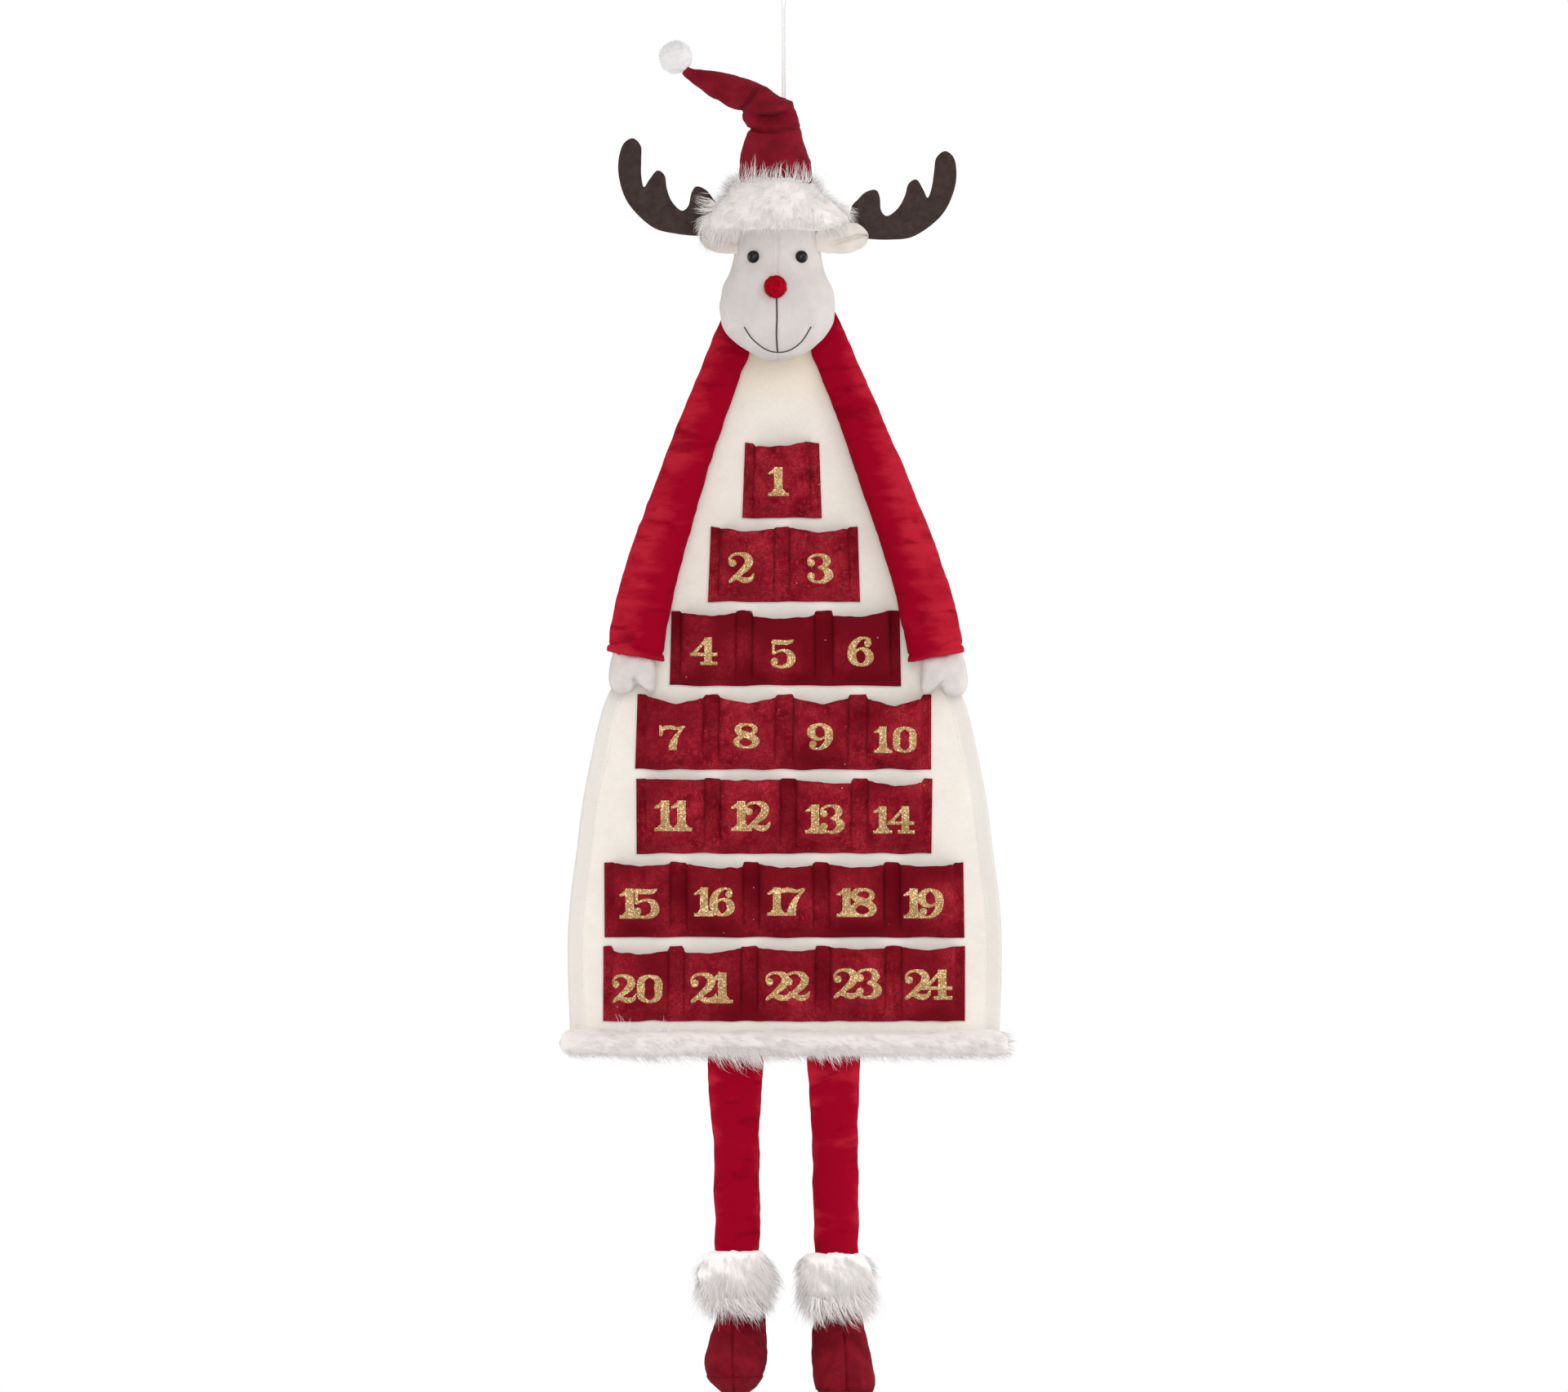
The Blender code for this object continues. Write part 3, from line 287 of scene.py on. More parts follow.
def needleFelt(name, deep, main, light, fibre=0.35, mottle=0.012, strand=0.0022, sheen=0.05, lift=0.00035,
               patch=(0.4, 0.66), lint=0.0, fresh=None):
    # needle-punched felt: tangled fibres pressed flat, which the eye sees as soft clouds of colour with
    # curling lighter hairs in it and a dull surface without gloss. Hairs are 0.05 mm thick and drawn about
    # 0.3 mm. In metres, `mottle` is a cloud's size, `strand` a hair's curl and `lift` the bump's height.
    made, shader = newMaterial(name, Roughness=0.95, Specular_IOR_Level=0.06, Sheen_Weight=sheen,
                               Sheen_Roughness=0.6)
    place = addNode(made, "ShaderNodeTexCoord")["Object"]
    cloud = addNode(made, "ShaderNodeTexNoise", {"Vector": place, "Scale": 1 / mottle, "Detail": 4.0,
                                                 "Roughness": 0.6, "Distortion": 0.4})["Fac"]
    cloudMask = addNode(made, "ShaderNodeMapRange", {"Value": cloud, "From Min": 0.36,
                                                     "From Max": 0.64})["Result"]
    ground = addNode(made, "ShaderNodeMix", {0: cloudMask, 6: linear(deep), 7: linear(main)},
                     data_type="RGBA")[2]
    hairs = []
    for scale, width in ((1 / strand, 0.045), (0.55 / strand, 0.03)):
        tangle = addNode(made, "ShaderNodeTexNoise", {"Vector": place, "Scale": scale, "Detail": 1.0,
                                                      "Distortion": 2.2})["Fac"]
        offset = addNode(made, "ShaderNodeMath", {0: tangle, 1: 0.5}, operation="SUBTRACT")[0]
        away = addNode(made, "ShaderNodeMath", {0: offset}, operation="ABSOLUTE")[0]
        hairs.append(addNode(made, "ShaderNodeMapRange", {"Value": away, "From Max": width, "To Min": 1.0,
                                                          "To Max": 0.0})["Result"])
    both = addNode(made, "ShaderNodeMath", {0: hairs[0], 1: hairs[1]}, operation="MAXIMUM")[0]
    patches = addNode(made, "ShaderNodeTexNoise", {"Vector": place, "Scale": 0.6 / mottle,
                                                   "Detail": 2.0})["Fac"]
    patchMask = addNode(made, "ShaderNodeMapRange", {"Value": patches, "From Min": patch[0],
                                                     "From Max": patch[1], "To Max": fibre})["Result"]
    if fresh:
        # the attribute `worn` says where the fibres stand up (1); elsewhere the felt is still pressed,
        # even and darker
        worn = addNode(made, "ShaderNodeAttribute", attribute_name="worn")["Fac"]
        ground = addNode(made, "ShaderNodeMix", {0: worn, 6: linear(fresh), 7: ground},
                         data_type="RGBA")[2]
        patchMask = addNode(made, "ShaderNodeMath", {0: patchMask, 1: worn}, operation="MULTIPLY")[0]
    amount = addNode(made, "ShaderNodeMath", {0: both, 1: patchMask}, operation="MULTIPLY")[0]
    if fresh:
        # little raised tufts, 2 to 3 mm wide, on the worn rows
        tuft = addNode(made, "ShaderNodeTexNoise", {"Vector": place, "Scale": 310.0, "Detail": 2.0,
                                                    "Distortion": 0.6})["Fac"]
        tuftMask = addNode(made, "ShaderNodeMapRange", {"Value": tuft, "From Min": 0.53, "From Max": 0.64,
                                                        "To Max": 0.3})["Result"]
        tuftMask = addNode(made, "ShaderNodeMath", {0: tuftMask, 1: worn}, operation="MULTIPLY")[0]
        amount = addNode(made, "ShaderNodeMath", {0: amount, 1: tuftMask}, operation="MAXIMUM")[0]
    colour = addNode(made, "ShaderNodeMix", {0: amount, 6: ground, 7: linear(light)}, data_type="RGBA")[2]
    if lint:
        # specks of pale lint caught in the fibres, about half a millimetre long and 15 mm apart
        speck = addNode(made, "ShaderNodeTexVoronoi", {"Vector": place, "Scale": 62.0},
                        feature="F1")["Distance"]
        speckMask = addNode(made, "ShaderNodeMapRange", {"Value": speck, "From Min": 0.045,
                                                         "From Max": 0.03,
                                                         "To Max": 0.6 * lint})["Result"]
        colour = addNode(made, "ShaderNodeMix", {0: speckMask, 6: colour, 7: linear("#e8b4a8")},
                         data_type="RGBA")[2]
    grain = addNode(made, "ShaderNodeTexNoise", {"Vector": place, "Scale": 1400.0, "Detail": 2.0})["Fac"]
    height = addNode(made, "ShaderNodeMath", {0: both, 1: 0.5, 2: grain}, operation="MULTIPLY_ADD")[0]
    bump = addNode(made, "ShaderNodeBump", {"Height": height, "Distance": lift,
                                            "Strength": 0.6})["Normal"]
    made.node_tree.links.new(colour, shader.inputs["Base Color"])
    made.node_tree.links.new(bump, shader.inputs["Normal"])
    return made


def napVelour(name, deep, main, sheenAndBrushed, size):
    # polyester velour: a 1 mm upright pile that swallows gloss and looks deep where it points at the eye,
    # and paler where it was brushed over. The point attribute it reads says how pale (0 deep, 1 pale), and
    # streaks break it up; the sleeves and legs set it paler towards their outer edges, which is painted
    # sheen.
    made, shader = newMaterial(name, Roughness=0.9, Specular_IOR_Level=0.04, Sheen_Weight=0.22,
                               Sheen_Roughness=0.27, Sheen_Tint=linear("#ff5a60"))
    place = addNode(made, "ShaderNodeTexCoord")["Object"]
    sheenAndNap = addNode(made, "ShaderNodeAttribute", attribute_name="sheenAndNap")["Fac"]
    across = addNode(made, "ShaderNodeMapping", {"Vector": place, "Scale": (0.55, 0.55, 1.7)})["Vector"]
    brush = addNode(made, "ShaderNodeTexNoise", {"Vector": across, "Scale": 1 / size, "Detail": 5.0,
                                                 "Roughness": 0.62, "Distortion": 0.3})["Fac"]
    swing = addNode(made, "ShaderNodeMapRange", {"Value": brush, "From Min": 0.3, "From Max": 0.7,
                                                 "To Min": -0.36, "To Max": 0.36})["Result"]
    lean = addNode(made, "ShaderNodeMath", {0: sheenAndNap, 1: swing}, operation="ADD", use_clamp=True)[0]
    soft = addNode(made, "ShaderNodeMapRange", {"Value": lean, "From Min": 0.12, "From Max": 0.95},
                   interpolation_type="SMOOTHSTEP")["Result"]
    ground = addNode(made, "ShaderNodeMix", {0: soft, 6: linear(main), 7: linear(sheenAndBrushed)},
                     data_type="RGBA")[2]
    dark = addNode(made, "ShaderNodeTexNoise", {"Vector": across, "Scale": 1.1 / size, "Detail": 4.0,
                                                "Distortion": 0.4})["Fac"]
    darkMask = addNode(made, "ShaderNodeMapRange", {"Value": dark, "From Min": 0.42, "From Max": 0.3,
                                                    "To Max": 0.7})["Result"]
    colour = addNode(made, "ShaderNodeMix", {0: darkMask, 6: ground, 7: linear(deep)},
                     data_type="RGBA")[2]
    pile = addNode(made, "ShaderNodeTexNoise", {"Vector": place, "Scale": 1500.0, "Detail": 3.0})["Fac"]
    bump = addNode(made, "ShaderNodeBump", {"Height": pile, "Distance": 0.0003,
                                            "Strength": 0.5})["Normal"]
    made.node_tree.links.new(colour, shader.inputs["Base Color"])
    made.node_tree.links.new(bump, shader.inputs["Normal"])
    return made


def pileFur(name, root, tip):
    # acrylic fur: 20 mm white hairs over a white ground, faintly warmer in the depth. The attribute
    # `tone` gives each hair its own shade, so that the pile reads as fine strands; the tufts and the cuffs
    # are set paler, which is painted light, and the sheen is the glow of loose fibres at the edge.
    made, shader = newMaterial(name, Roughness=0.8, Specular_IOR_Level=0.2, Sheen_Weight=1.0,
                               Sheen_Roughness=0.55)
    tone = addNode(made, "ShaderNodeAttribute", attribute_name="tone")["Fac"]
    colour = addNode(made, "ShaderNodeMix", {0: tone, 6: linear(root), 7: linear(tip)},
                     data_type="RGBA")[2]
    made.node_tree.links.new(colour, shader.inputs["Base Color"])
    return made


def cottonThread(name, deep, main):
    # twisted cotton: dull, its fibres mottled between a darker and a paler tone
    made, shader = newMaterial(name, Roughness=0.85, Specular_IOR_Level=0.15)
    place = addNode(made, "ShaderNodeTexCoord")["Object"]
    fibre = addNode(made, "ShaderNodeTexNoise", {"Vector": place, "Scale": 900.0, "Detail": 2.0})["Fac"]
    colour = addNode(made, "ShaderNodeMix", {0: fibre, 6: linear(deep), 7: linear(main)},
                     data_type="RGBA")[2]
    bump = addNode(made, "ShaderNodeBump", {"Height": fibre, "Distance": 0.0002,
                                            "Strength": 0.5})["Normal"]
    made.node_tree.links.new(colour, shader.inputs["Base Color"])
    made.node_tree.links.new(bump, shader.inputs["Normal"])
    return made


def goldGlitter(name):
    # glitter flakes about 0.4 mm across set in varnish: each flake lies its own way and has its own tone;
    # some are painted glints
    made, shader = newMaterial(name, Metallic=0.45, Roughness=0.42)
    place = addNode(made, "ShaderNodeTexCoord")["Object"]
    flake = addNode(made, "ShaderNodeTexVoronoi", {"Vector": place, "Scale": 1500.0},
                    feature="F1")["Color"]
    tone = addNode(made, "ShaderNodeSeparateColor", {"Color": flake})
    warm = addNode(made, "ShaderNodeMix", {0: tone[0], 6: linear("#90693a"), 7: linear("#b68f55")},
                   data_type="RGBA")[2]
    # the palest flakes are painted glints: a pale cream where light would flash off them
    paintedGlint = addNode(made, "ShaderNodeMapRange", {"Value": tone[1], "From Min": 0.82,
                                                 "From Max": 0.9})["Result"]
    colour = addNode(made, "ShaderNodeMix", {0: paintedGlint, 6: warm, 7: linear("#fff0c4")},
                     data_type="RGBA")[2]
    bump = addNode(made, "ShaderNodeBump", {"Height": tone[2], "Distance": 0.0003,
                                            "Strength": 0.7})["Normal"]
    made.node_tree.links.new(colour, shader.inputs["Base Color"])
    made.node_tree.links.new(bump, shader.inputs["Normal"])
    return made


def panelFelt(name):
    # cream polyester felt, 2 mm: warmer near the neck, and greyer in the seam allowance along the edge,
    # which the attribute `seam` marks (0 inside, 1 at the edge); that grey band is painted shade along the
    # edge
    made = needleFelt(name, "#f1eadf", "#f5eee5", "#faf6f1", fibre=0.4, mottle=0.02, strand=0.003,
                      lift=0.0003)
    shader = made.node_tree.nodes["Principled BSDF"]
    felt = shader.inputs["Base Color"].links[0].from_socket
    place = addNode(made, "ShaderNodeTexCoord")["Object"]
    parts = addNode(made, "ShaderNodeSeparateXYZ", {"Vector": place})
    high = addNode(made, "ShaderNodeMapRange", {"Value": parts["Z"], "From Min": -0.385,
                                                "From Max": -0.325})["Result"]
    near = addNode(made, "ShaderNodeMapRange", {"Value": parts["Y"], "From Min": 0.0016,
                                                "From Max": 0.0012})["Result"]
    neck = addNode(made, "ShaderNodeMath", {0: high, 1: near}, operation="MULTIPLY")[0]
    warm = addNode(made, "ShaderNodeMix", {0: neck, 6: felt, 7: linear("#f0e2cc")}, data_type="RGBA")[2]
    seam = addNode(made, "ShaderNodeAttribute", attribute_name="seam")["Fac"]
    # the seam allowance is mixed towards grey: painted shade along the panel's edge
    colour = addNode(made, "ShaderNodeMix", {0: seam, 6: warm, 7: linear("#e9e4dc")}, data_type="RGBA")[2]
    made.node_tree.links.new(colour, shader.inputs["Base Color"])
    return made


creamFelt = panelFelt("creamPolyesterFelt")
crimsonFelt = needleFelt("crimsonNeedleFelt", "#6e0919", "#8d0e22", "#d8424e", fibre=0.85, mottle=0.009,
                         strand=0.0017, sheen=0.0, patch=(0.34, 0.58), lint=1.0, fresh="#700a1a")
wineFelt = needleFelt("wineNeedleFelt", "#700d1d", "#881427", "#ac3848", fibre=0.25, mottle=0.02,
                      strand=0.0018, sheen=0.02)
bootFelt = needleFelt("wineBootFelt", "#680b19", "#821222", "#a83040", fibre=0.4, mottle=0.018,
                      strand=0.0018, sheen=0.0)
antlerFelt = needleFelt("brownStiffFelt", "#392d2a", "#463936", "#5e4e4a", fibre=0.3, mottle=0.008,
                        strand=0.0016)
noseFelt = needleFelt("redWoolFelt", "#8c0014", "#b8001e", "#e0283c", fibre=0.4, mottle=0.003,
                      strand=0.0012, sheen=0.0)
headFleece = needleFelt("whiteHeadFleece", "#cfc8c4", "#d7d0cc", "#e4dfdc", fibre=0.25, mottle=0.02,
                        strand=0.0016, lift=0.0002)
earFleece = needleFelt("whiteEarFleece", "#dcd3cb", "#e5ddd4", "#f0eae4", fibre=0.25, mottle=0.015,
                       strand=0.0016, lift=0.0002)
handFelt = needleFelt("whiteHandFelt", "#d0c8c4", "#dad3cf", "#e8e3e0", fibre=0.25, mottle=0.015,
                      strand=0.0016, lift=0.0002)
velour = napVelour("redPolyesterVelour", "#7c0018", "#960220", "#b42032", 0.022)
whiteFur = pileFur("whiteAcrylicFur", "#e0d5d0", "#fdf7f4")
whiteWool = pileFur("whitePompomWool", "#dcd9d7", "#efecec")
goldFlakes = goldGlitter("goldGlitterVarnish")
mouthThread = cottonThread("darkMouthThread", "#2c2624", "#4a403c")
redThread = cottonThread("crimsonSewingThread", "#62081a", "#861226")
creamThread = cottonThread("creamSewingThread", "#dcd4c6", "#efe9de")
whiteCotton = cottonThread("whiteCordCotton", "#ece9e3", "#faf8f4")


def markPoints(piece, name, values):
    # a number for each point, which the material reads
    mark = piece.data.attributes.new(name, "FLOAT", "POINT")
    mark.data.foreach_set("value", np.asarray(values, np.float32))


def finishPiece(piece, body, nodes=()):
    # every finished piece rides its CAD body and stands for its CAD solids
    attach(piece, body)
    if nodes:
        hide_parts(*nodes)
    return piece


# camera, then the cord

# `plane` is the y at which one pixel is 0.72 mm
cameraSet = {"lens": 480.0, "sensor": 36.0, "middle": (960.0, 852.5), "frameWidth": 1920, "plane": -0.012}
camera = bpy.data.objects.new("camera", bpy.data.cameras.new("camera"))
bpy.context.scene.collection.objects.link(camera)
camera.data.lens = cameraSet["lens"]
camera.data.sensor_width = cameraSet["sensor"]
aim = spot(cameraSet["middle"])
distance = cameraSet["frameWidth"] * pixel * cameraSet["lens"] / cameraSet["sensor"]
camera.location = (aim[0], cameraSet["plane"] - distance, aim[1])
camera.rotation_euler = (math.pi / 2, 0, 0)
camera.data.clip_start, camera.data.clip_end = 0.1, 60.0
bpy.context.scene.camera = camera

cord = {
    "diameter": 0.0018, "apart": 0.00115, "loop": 0.0042, "neck": 0.03, "foot": -0.1827, "plies": 3,
    "pitch": 0.0062, "sides": 12, "step": 0.00045,
}


def cordLine():
    # up from the brim, out to the loop's width by 3s^2 - 2s^3, over it in an arc, and back down
    top = cord["loop"] - cord["diameter"] / 2
    z = np.linspace(cord["foot"], -cord["neck"], 26)
    rise = np.column_stack([np.full(len(z), -cord["apart"]), z])
    s = np.linspace(0.12, 1, 8)
    wider = s * s * (3 - 2 * s) * (cord["loop"] - cord["apart"])
    out = np.column_stack([-cord["apart"] - wider, -cord["neck"] + s * (cord["neck"] - top)])
    turn = np.radians(np.linspace(22.5, 90, 4))
    arc = np.column_stack([-cord["loop"] * np.cos(turn), -top + cord["loop"] * np.sin(turn)])
    half = np.vstack([rise, out, arc])
    whole = np.vstack([half, (half * (-1, 1))[-2::-1]])
    return np.column_stack([whole[:, 0], np.zeros(len(whole)), whole[:, 1]])


fine = evenly(through(cordLine(), 900), cord["step"])
points, faces = rope(fine, cord["diameter"] / 2, cord["plies"], cord["pitch"], cord["sides"])
hangingCord = newPiece("cord_strands", points, faces, whiteCotton)
finishPiece(hangingCord, "body", ["hanging_cord"])


# stuffed pieces: skins first, then one run of cloth with air pressure, then seams and folds

headShape = {
    "shift": -0.0058, "top": -0.183, "height": 0.158, "width": 0.104, "depth": 0.079, "rings": 52,
             "around": 64,
    # down, half width, front and back, as shares of the sizes above
    "shares": ((0.018, 0.25, 0.6, 0.252), (0.06, 0.47, 0.71, 0.132), (0.14, 0.635, 0.785, 0.062),
               (0.23, 0.7, 0.825, 0.027),
               (0.33, 0.735, 0.85, 0.007), (0.42, 0.775, 0.875, 0.0), (0.5, 0.84, 0.92, 0.0),
               (0.58, 0.955, 0.965, 0.012),
               (0.67, 1.0, 0.995, 0.092), (0.727, 0.995, 1.0, 0.187), (0.785, 0.965, 0.99, 0.207),
               (0.855, 0.84, 0.955, 0.237),
               (0.917, 0.635, 0.9, 0.292), (0.962, 0.41, 0.82, 0.372), (0.989, 0.21, 0.72, 0.472)),
    "poles": (0.43, 0.6),
}


def headSkin():
    h = headShape
    t = through(h["shares"], h["rings"])
    grid = ovalRings(np.full(len(t), h["shift"]), h["top"] - t[:, 0] * h["height"],
                     t[:, 1] * h["width"] / 2,
                     boardFront - t[:, 2] * h["depth"], boardFront - t[:, 3] * h["depth"], h["around"])
    crown = (h["shift"], boardFront - h["poles"][0] * h["depth"], h["top"])
    chin = (h["shift"], boardFront - h["poles"][1] * h["depth"], h["top"] - h["height"])
    return grid, crown, chin


# outer x, y and inner x, y in picture pixels, and how far the sleeve stands out in metres
sleeveRows = (
    (887.0, 379.0, 899.0, 384.0, 0.005), (881.8, 390.0, 908.0, 401.0, 0.0082),
    (873.4, 409.8, 918.4, 428.6, 0.0112), (862.3, 437.7, 909.0, 456.1, 0.0155),
    (848.5, 471.4, 896.6, 490.5, 0.0206), (830.0, 517.2, 881.0, 536.3, 0.0258),
    (811.5, 564.0, 866.6, 583.6, 0.0284), (793.5, 610.6, 852.0, 631.4, 0.03),
    (776.2, 658.3, 838.3, 677.8, 0.0309), (760.6, 706.8, 827.0, 724.9, 0.0313),
    (748.9, 756.3, 817.8, 769.6, 0.0307), (745.0, 785.0, 813.6, 797.5, 0.0296),
    (743.4, 797.8, 812.4, 810.6, 0.0288),
)
# the right sleeve is the left one's mirror image, whose lower part stands up to 15.4 pixels further out
# and hangs up to 1.5 pixels lower
sleeveMirror = {"sum": 1908.6, "outFrom": 400, "outOver": 400, "out": 15.4,
                "downFrom": 600, "downOver": 200, "down": 1.5}


def sleeveSkin(way):
    rows, m = np.array(sleeveRows), sleeveMirror
    if way > 0:
        rows[:, 0], rows[:, 2] = m["sum"] - rows[:, 2], m["sum"] - rows[:, 0]
        rows[:, [1, 3]] = rows[:, [3, 1]]
        rows[:, [0, 2]] += np.clip((rows[:, 1:2] - m["outFrom"]) / m["outOver"], 0, 1) * m["out"]
        rows[:, [1, 3]] += m["down"] * np.clip((rows[:, 1:2] - m["downFrom"]) / m["downOver"], 0, 1)
    grid = edgeRings(rows[:, :4], boardFront - rows[:, 4], np.full(len(rows), boardFront), 84, 44)
    return grid, grid[0].mean(0), grid[-1].mean(0)


handOutline = (
    (748, 804), (745.3, 817), (743.1, 830), (745.8, 842), (752.3, 849.1), (762.1, 852), (771.9, 849.6),
    (776.9, 844.6), (781.6, 842.2), (788.1, 845.3), (795.2, 849.4), (801.1, 848.3), (804.4, 842),
    (805.2, 828), (803.0, 814), (799, 800), (775, 794), (753, 793),
)
handShape = {"rings": 23, "around": 72, "pole": 0.16, "power": 2.6, "depth": 0.0125, "middle": 0.0144,
             "mirror": (1930, 3)}


def handSkin(way):
    # the outline shrinks towards its middle as the skin leaves the seam: at share s of its size,
    # y = depth * sqrt(1 - s^power)
    h = handShape
    line = np.array(handOutline, float)
    if way > 0:
        line = line * (-1, 1) + h["mirror"]
    edge = spot(through(line, h["around"], closed=True))
    heart = edge.mean(0)
    share = np.sin(np.linspace(h["pole"], np.pi - h["pole"], h["rings"]))
    deep = np.sign(np.linspace(-1, 1, h["rings"])) * np.sqrt(1 - share ** h["power"]) * h["depth"]
    grid = np.zeros((h["rings"], h["around"], 3))
    flat = heart + (edge - heart)[None] * share[:, None, None]
    middle = boardFront - h["middle"]
    grid[..., 0], grid[..., 2], grid[..., 1] = flat[..., 0], flat[..., 1], (middle + deep)[:, None]
    return grid, (heart[0], middle - h["depth"], heart[1]), (heart[0], middle + h["depth"], heart[1])


# left x, right x and y in picture pixels


legRows = {
    "left": ((867.4, 934.2, 1292.5), (865.6, 935.9, 1297), (866.2, 934.8, 1318), (867.4, 933.2, 1338),
    (871.0, 930.6, 1379), (873.0, 930.8, 1413), (873.2, 931.5, 1450), (874.2, 931.6, 1489),
    (875.4, 930.8, 1530), (878.0, 928.0, 1570), (879.0, 928.0, 1597)),
    "right": ((988.4, 1053.2, 1292.5), (987.1, 1054.3, 1297), (988.2, 1053.4, 1318),
    (989.5, 1052.6, 1338), (992.4, 1051.4, 1379), (994.2, 1051.2, 1413), (994.8, 1051.4, 1450),
    (995.2, 1052.2, 1489), (996.2, 1051.6, 1530), (1001.0, 1051.0, 1570), (1002.5, 1051.5, 1597)),
}
legMiddle = -0.011
legHalf = (0.0014, 0.003, 0.0052, 0.0082, 0.0128, 0.0146, 0.015, 0.0148, 0.0146, 0.0142, 0.0138)


def legSkin(side):
    half = np.array(legHalf)
    grid = edgeRings(levelRows(legRows[side]), legMiddle - half, legMiddle + half, 66, 44, 0.92)
    return grid, grid[0].mean(0), grid[-1].mean(0)


# left x, right x and y in picture pixels, then how far the toe and the heel reach as shares of the length
bootRows = {
    "left": ((880, 932, 1594.0, 0.3, 0.94), (876, 937.8, 1610, 0.37, 0.98), (871, 939.2, 1628, 0.5, 1.0),
    (865, 940.3, 1648, 0.7, 1.0), (862, 940.2, 1662, 0.87, 1.0), (861.6, 939.2, 1673, 0.95, 1.0),
    (862.6, 937.6, 1679, 0.968, 0.998), (864.8, 935.2, 1684.3, 0.955, 0.985)),
    "right": ((1001, 1053, 1595.0, 0.3, 0.94), (996, 1057, 1612, 0.37, 0.98),
    (993.4, 1060, 1628, 0.5, 1.0), (992.6, 1065.5, 1650, 0.7, 1.0), (993.6, 1069.5, 1670, 0.87, 1.0),
    (994.8, 1072.0, 1686, 0.95, 1.0), (996.2, 1072.2, 1695, 0.968, 0.998),
    (998.6, 1070.4, 1700.3, 0.955, 0.985)),
}
soleRows = {
    "left": ((864.8, 935.2, 1684.1, 0.955, 0.985), (866.0, 934.2, 1687.0, 0.95, 0.98),
    (870.0, 930.5, 1692.5, 0.915, 0.955), (878.5, 924.0, 1701, 0.82, 0.89),
    (888.0, 914.5, 1707.5, 0.66, 0.77)),
    "right": ((998.6, 1070.4, 1700.1, 0.955, 0.985), (1000.0, 1069.2, 1703.0, 0.95, 0.98),
    (1004.4, 1064.8, 1708.5, 0.915, 0.955), (1013.0, 1055.5, 1716, 0.82, 0.89),
    (1023.0, 1045.5, 1721, 0.66, 0.77)),
}
bootShape = {"length": 0.088, "rings": 40, "soleRings": 18, "around": 56}


def bootSkin(rows, count, sewnLast):
    # one more row stands close to the end that is sewn to the other piece, the last one or the first
    t = through(rows, count)
    if sewnLast:
        t = np.insert(t, count - 1, t[-1] * 0.72 + t[-2] * 0.28, 0)
    else:
        t = np.insert(t, 1, t[0] * 0.72 + t[1] * 0.28, 0)
    left, right = spot(t[:, [0, 2]]), spot(t[:, [1, 2]])
    toe, heel = boardBack - t[:, 3] * bootShape["length"], boardBack - (1 - t[:, 4]) * bootShape["length"]
    grid = ovalRings((left + right)[:, 0] / 2, left[:, 1], (right - left)[:, 0] / 2, toe, heel,
                     bootShape["around"])
    return grid, grid[0].mean(0), grid[-1].mean(0)


def seamColumns(grid, *turns):
    # the points of a tube's rings at these turns, which the cloth keeps still as its sewn seams
    rows, cols = grid.shape[:2]
    return np.concatenate([np.arange(rows) * cols + int(round(turn * cols)) % cols for turn in turns])


# a seam's points are moved in by only a share, and `evened` rounds spread the move over the skin
clothSet = {"frames": 20, "quality": 4, "mass": 0.2, "pressure": 4.0, "stiffness": 12.0, "bending": 0.4,
            "seamShare": 0.25, "evened": 6}
stuffed = []


def stuff(name, skin, material, seams, swell, shrink=0.0012):
    # the skin starts a little slim, moved in along its normals, because air pressure swells it
    points, faces = closedTube(*skin)
    piece = newPiece(name, points, faces, material)
    loose = np.ones(len(points))
    loose[seams] = clothSet["seamShare"]
    movePoints(piece, readPoints(piece) - readNormals(piece) * (shrink * loose)[:, None])
    stuffed.append((piece, seams, swell))
    return piece


def addCloth(piece, seams):
    sewn = piece.vertex_groups.new(name="sewn")
    if len(seams):
        sewn.add([int(k) for k in seams], 1.0, "REPLACE")
    step = piece.modifiers.new("cloth", "CLOTH")
    step.settings.quality = clothSet["quality"]
    step.settings.mass = clothSet["mass"]
    step.settings.use_pressure = True
    step.settings.uniform_pressure_force = clothSet["pressure"]
    step.settings.vertex_group_mass = "sewn"
    step.settings.tension_stiffness = step.settings.compression_stiffness = clothSet["stiffness"]
    step.settings.bending_stiffness = clothSet["bending"]
    step.settings.effector_weights.gravity = 0.0
    step.collision_settings.use_collision = False


def evenMove(piece, move):
    # each round takes the mean of a point's move and that of its neighbours
    ends = np.zeros(len(piece.data.edges) * 2, np.int64)
    piece.data.edges.foreach_get("vertices", ends)
    ends = ends.reshape(-1, 2)
    beside = np.bincount(ends.ravel(), minlength=len(move))[:, None]
    for _ in range(clothSet["evened"]):
        total = np.zeros_like(move)
        np.add.at(total, ends[:, 0], move[ends[:, 1]])
        np.add.at(total, ends[:, 1], move[ends[:, 0]])
        move = (move + total / beside) / 2
    return move


def blowUp(pieces):
    # cloth with air pressure and no gravity; a point then keeps at most `swell` of its move
    scene = bpy.context.scene
    for piece, seams, _ in pieces:
        addCloth(piece, seams)
    for now in range(1, clothSet["frames"] + 1):
        scene.frame_set(now)
    graph = bpy.context.evaluated_depsgraph_get()
    for piece, _, swell in pieces:
        soft = np.zeros(len(piece.data.vertices) * 3)
        piece.evaluated_get(graph).data.vertices.foreach_get("co", soft)
        start = readPoints(piece)
        move = evenMove(piece, soft.reshape(-1, 3) - start)
        far = np.linalg.norm(move, axis=1, keepdims=True)
        piece.modifiers.clear()
        piece.vertex_groups.clear()
        movePoints(piece, start + move * np.minimum(1, swell / np.maximum(far, 1e-9)))
        print("  plumped", piece.name, "by up to", round(float(np.minimum(far, swell).max()) * 1000, 2),
              "mm")
    scene.frame_set(1)


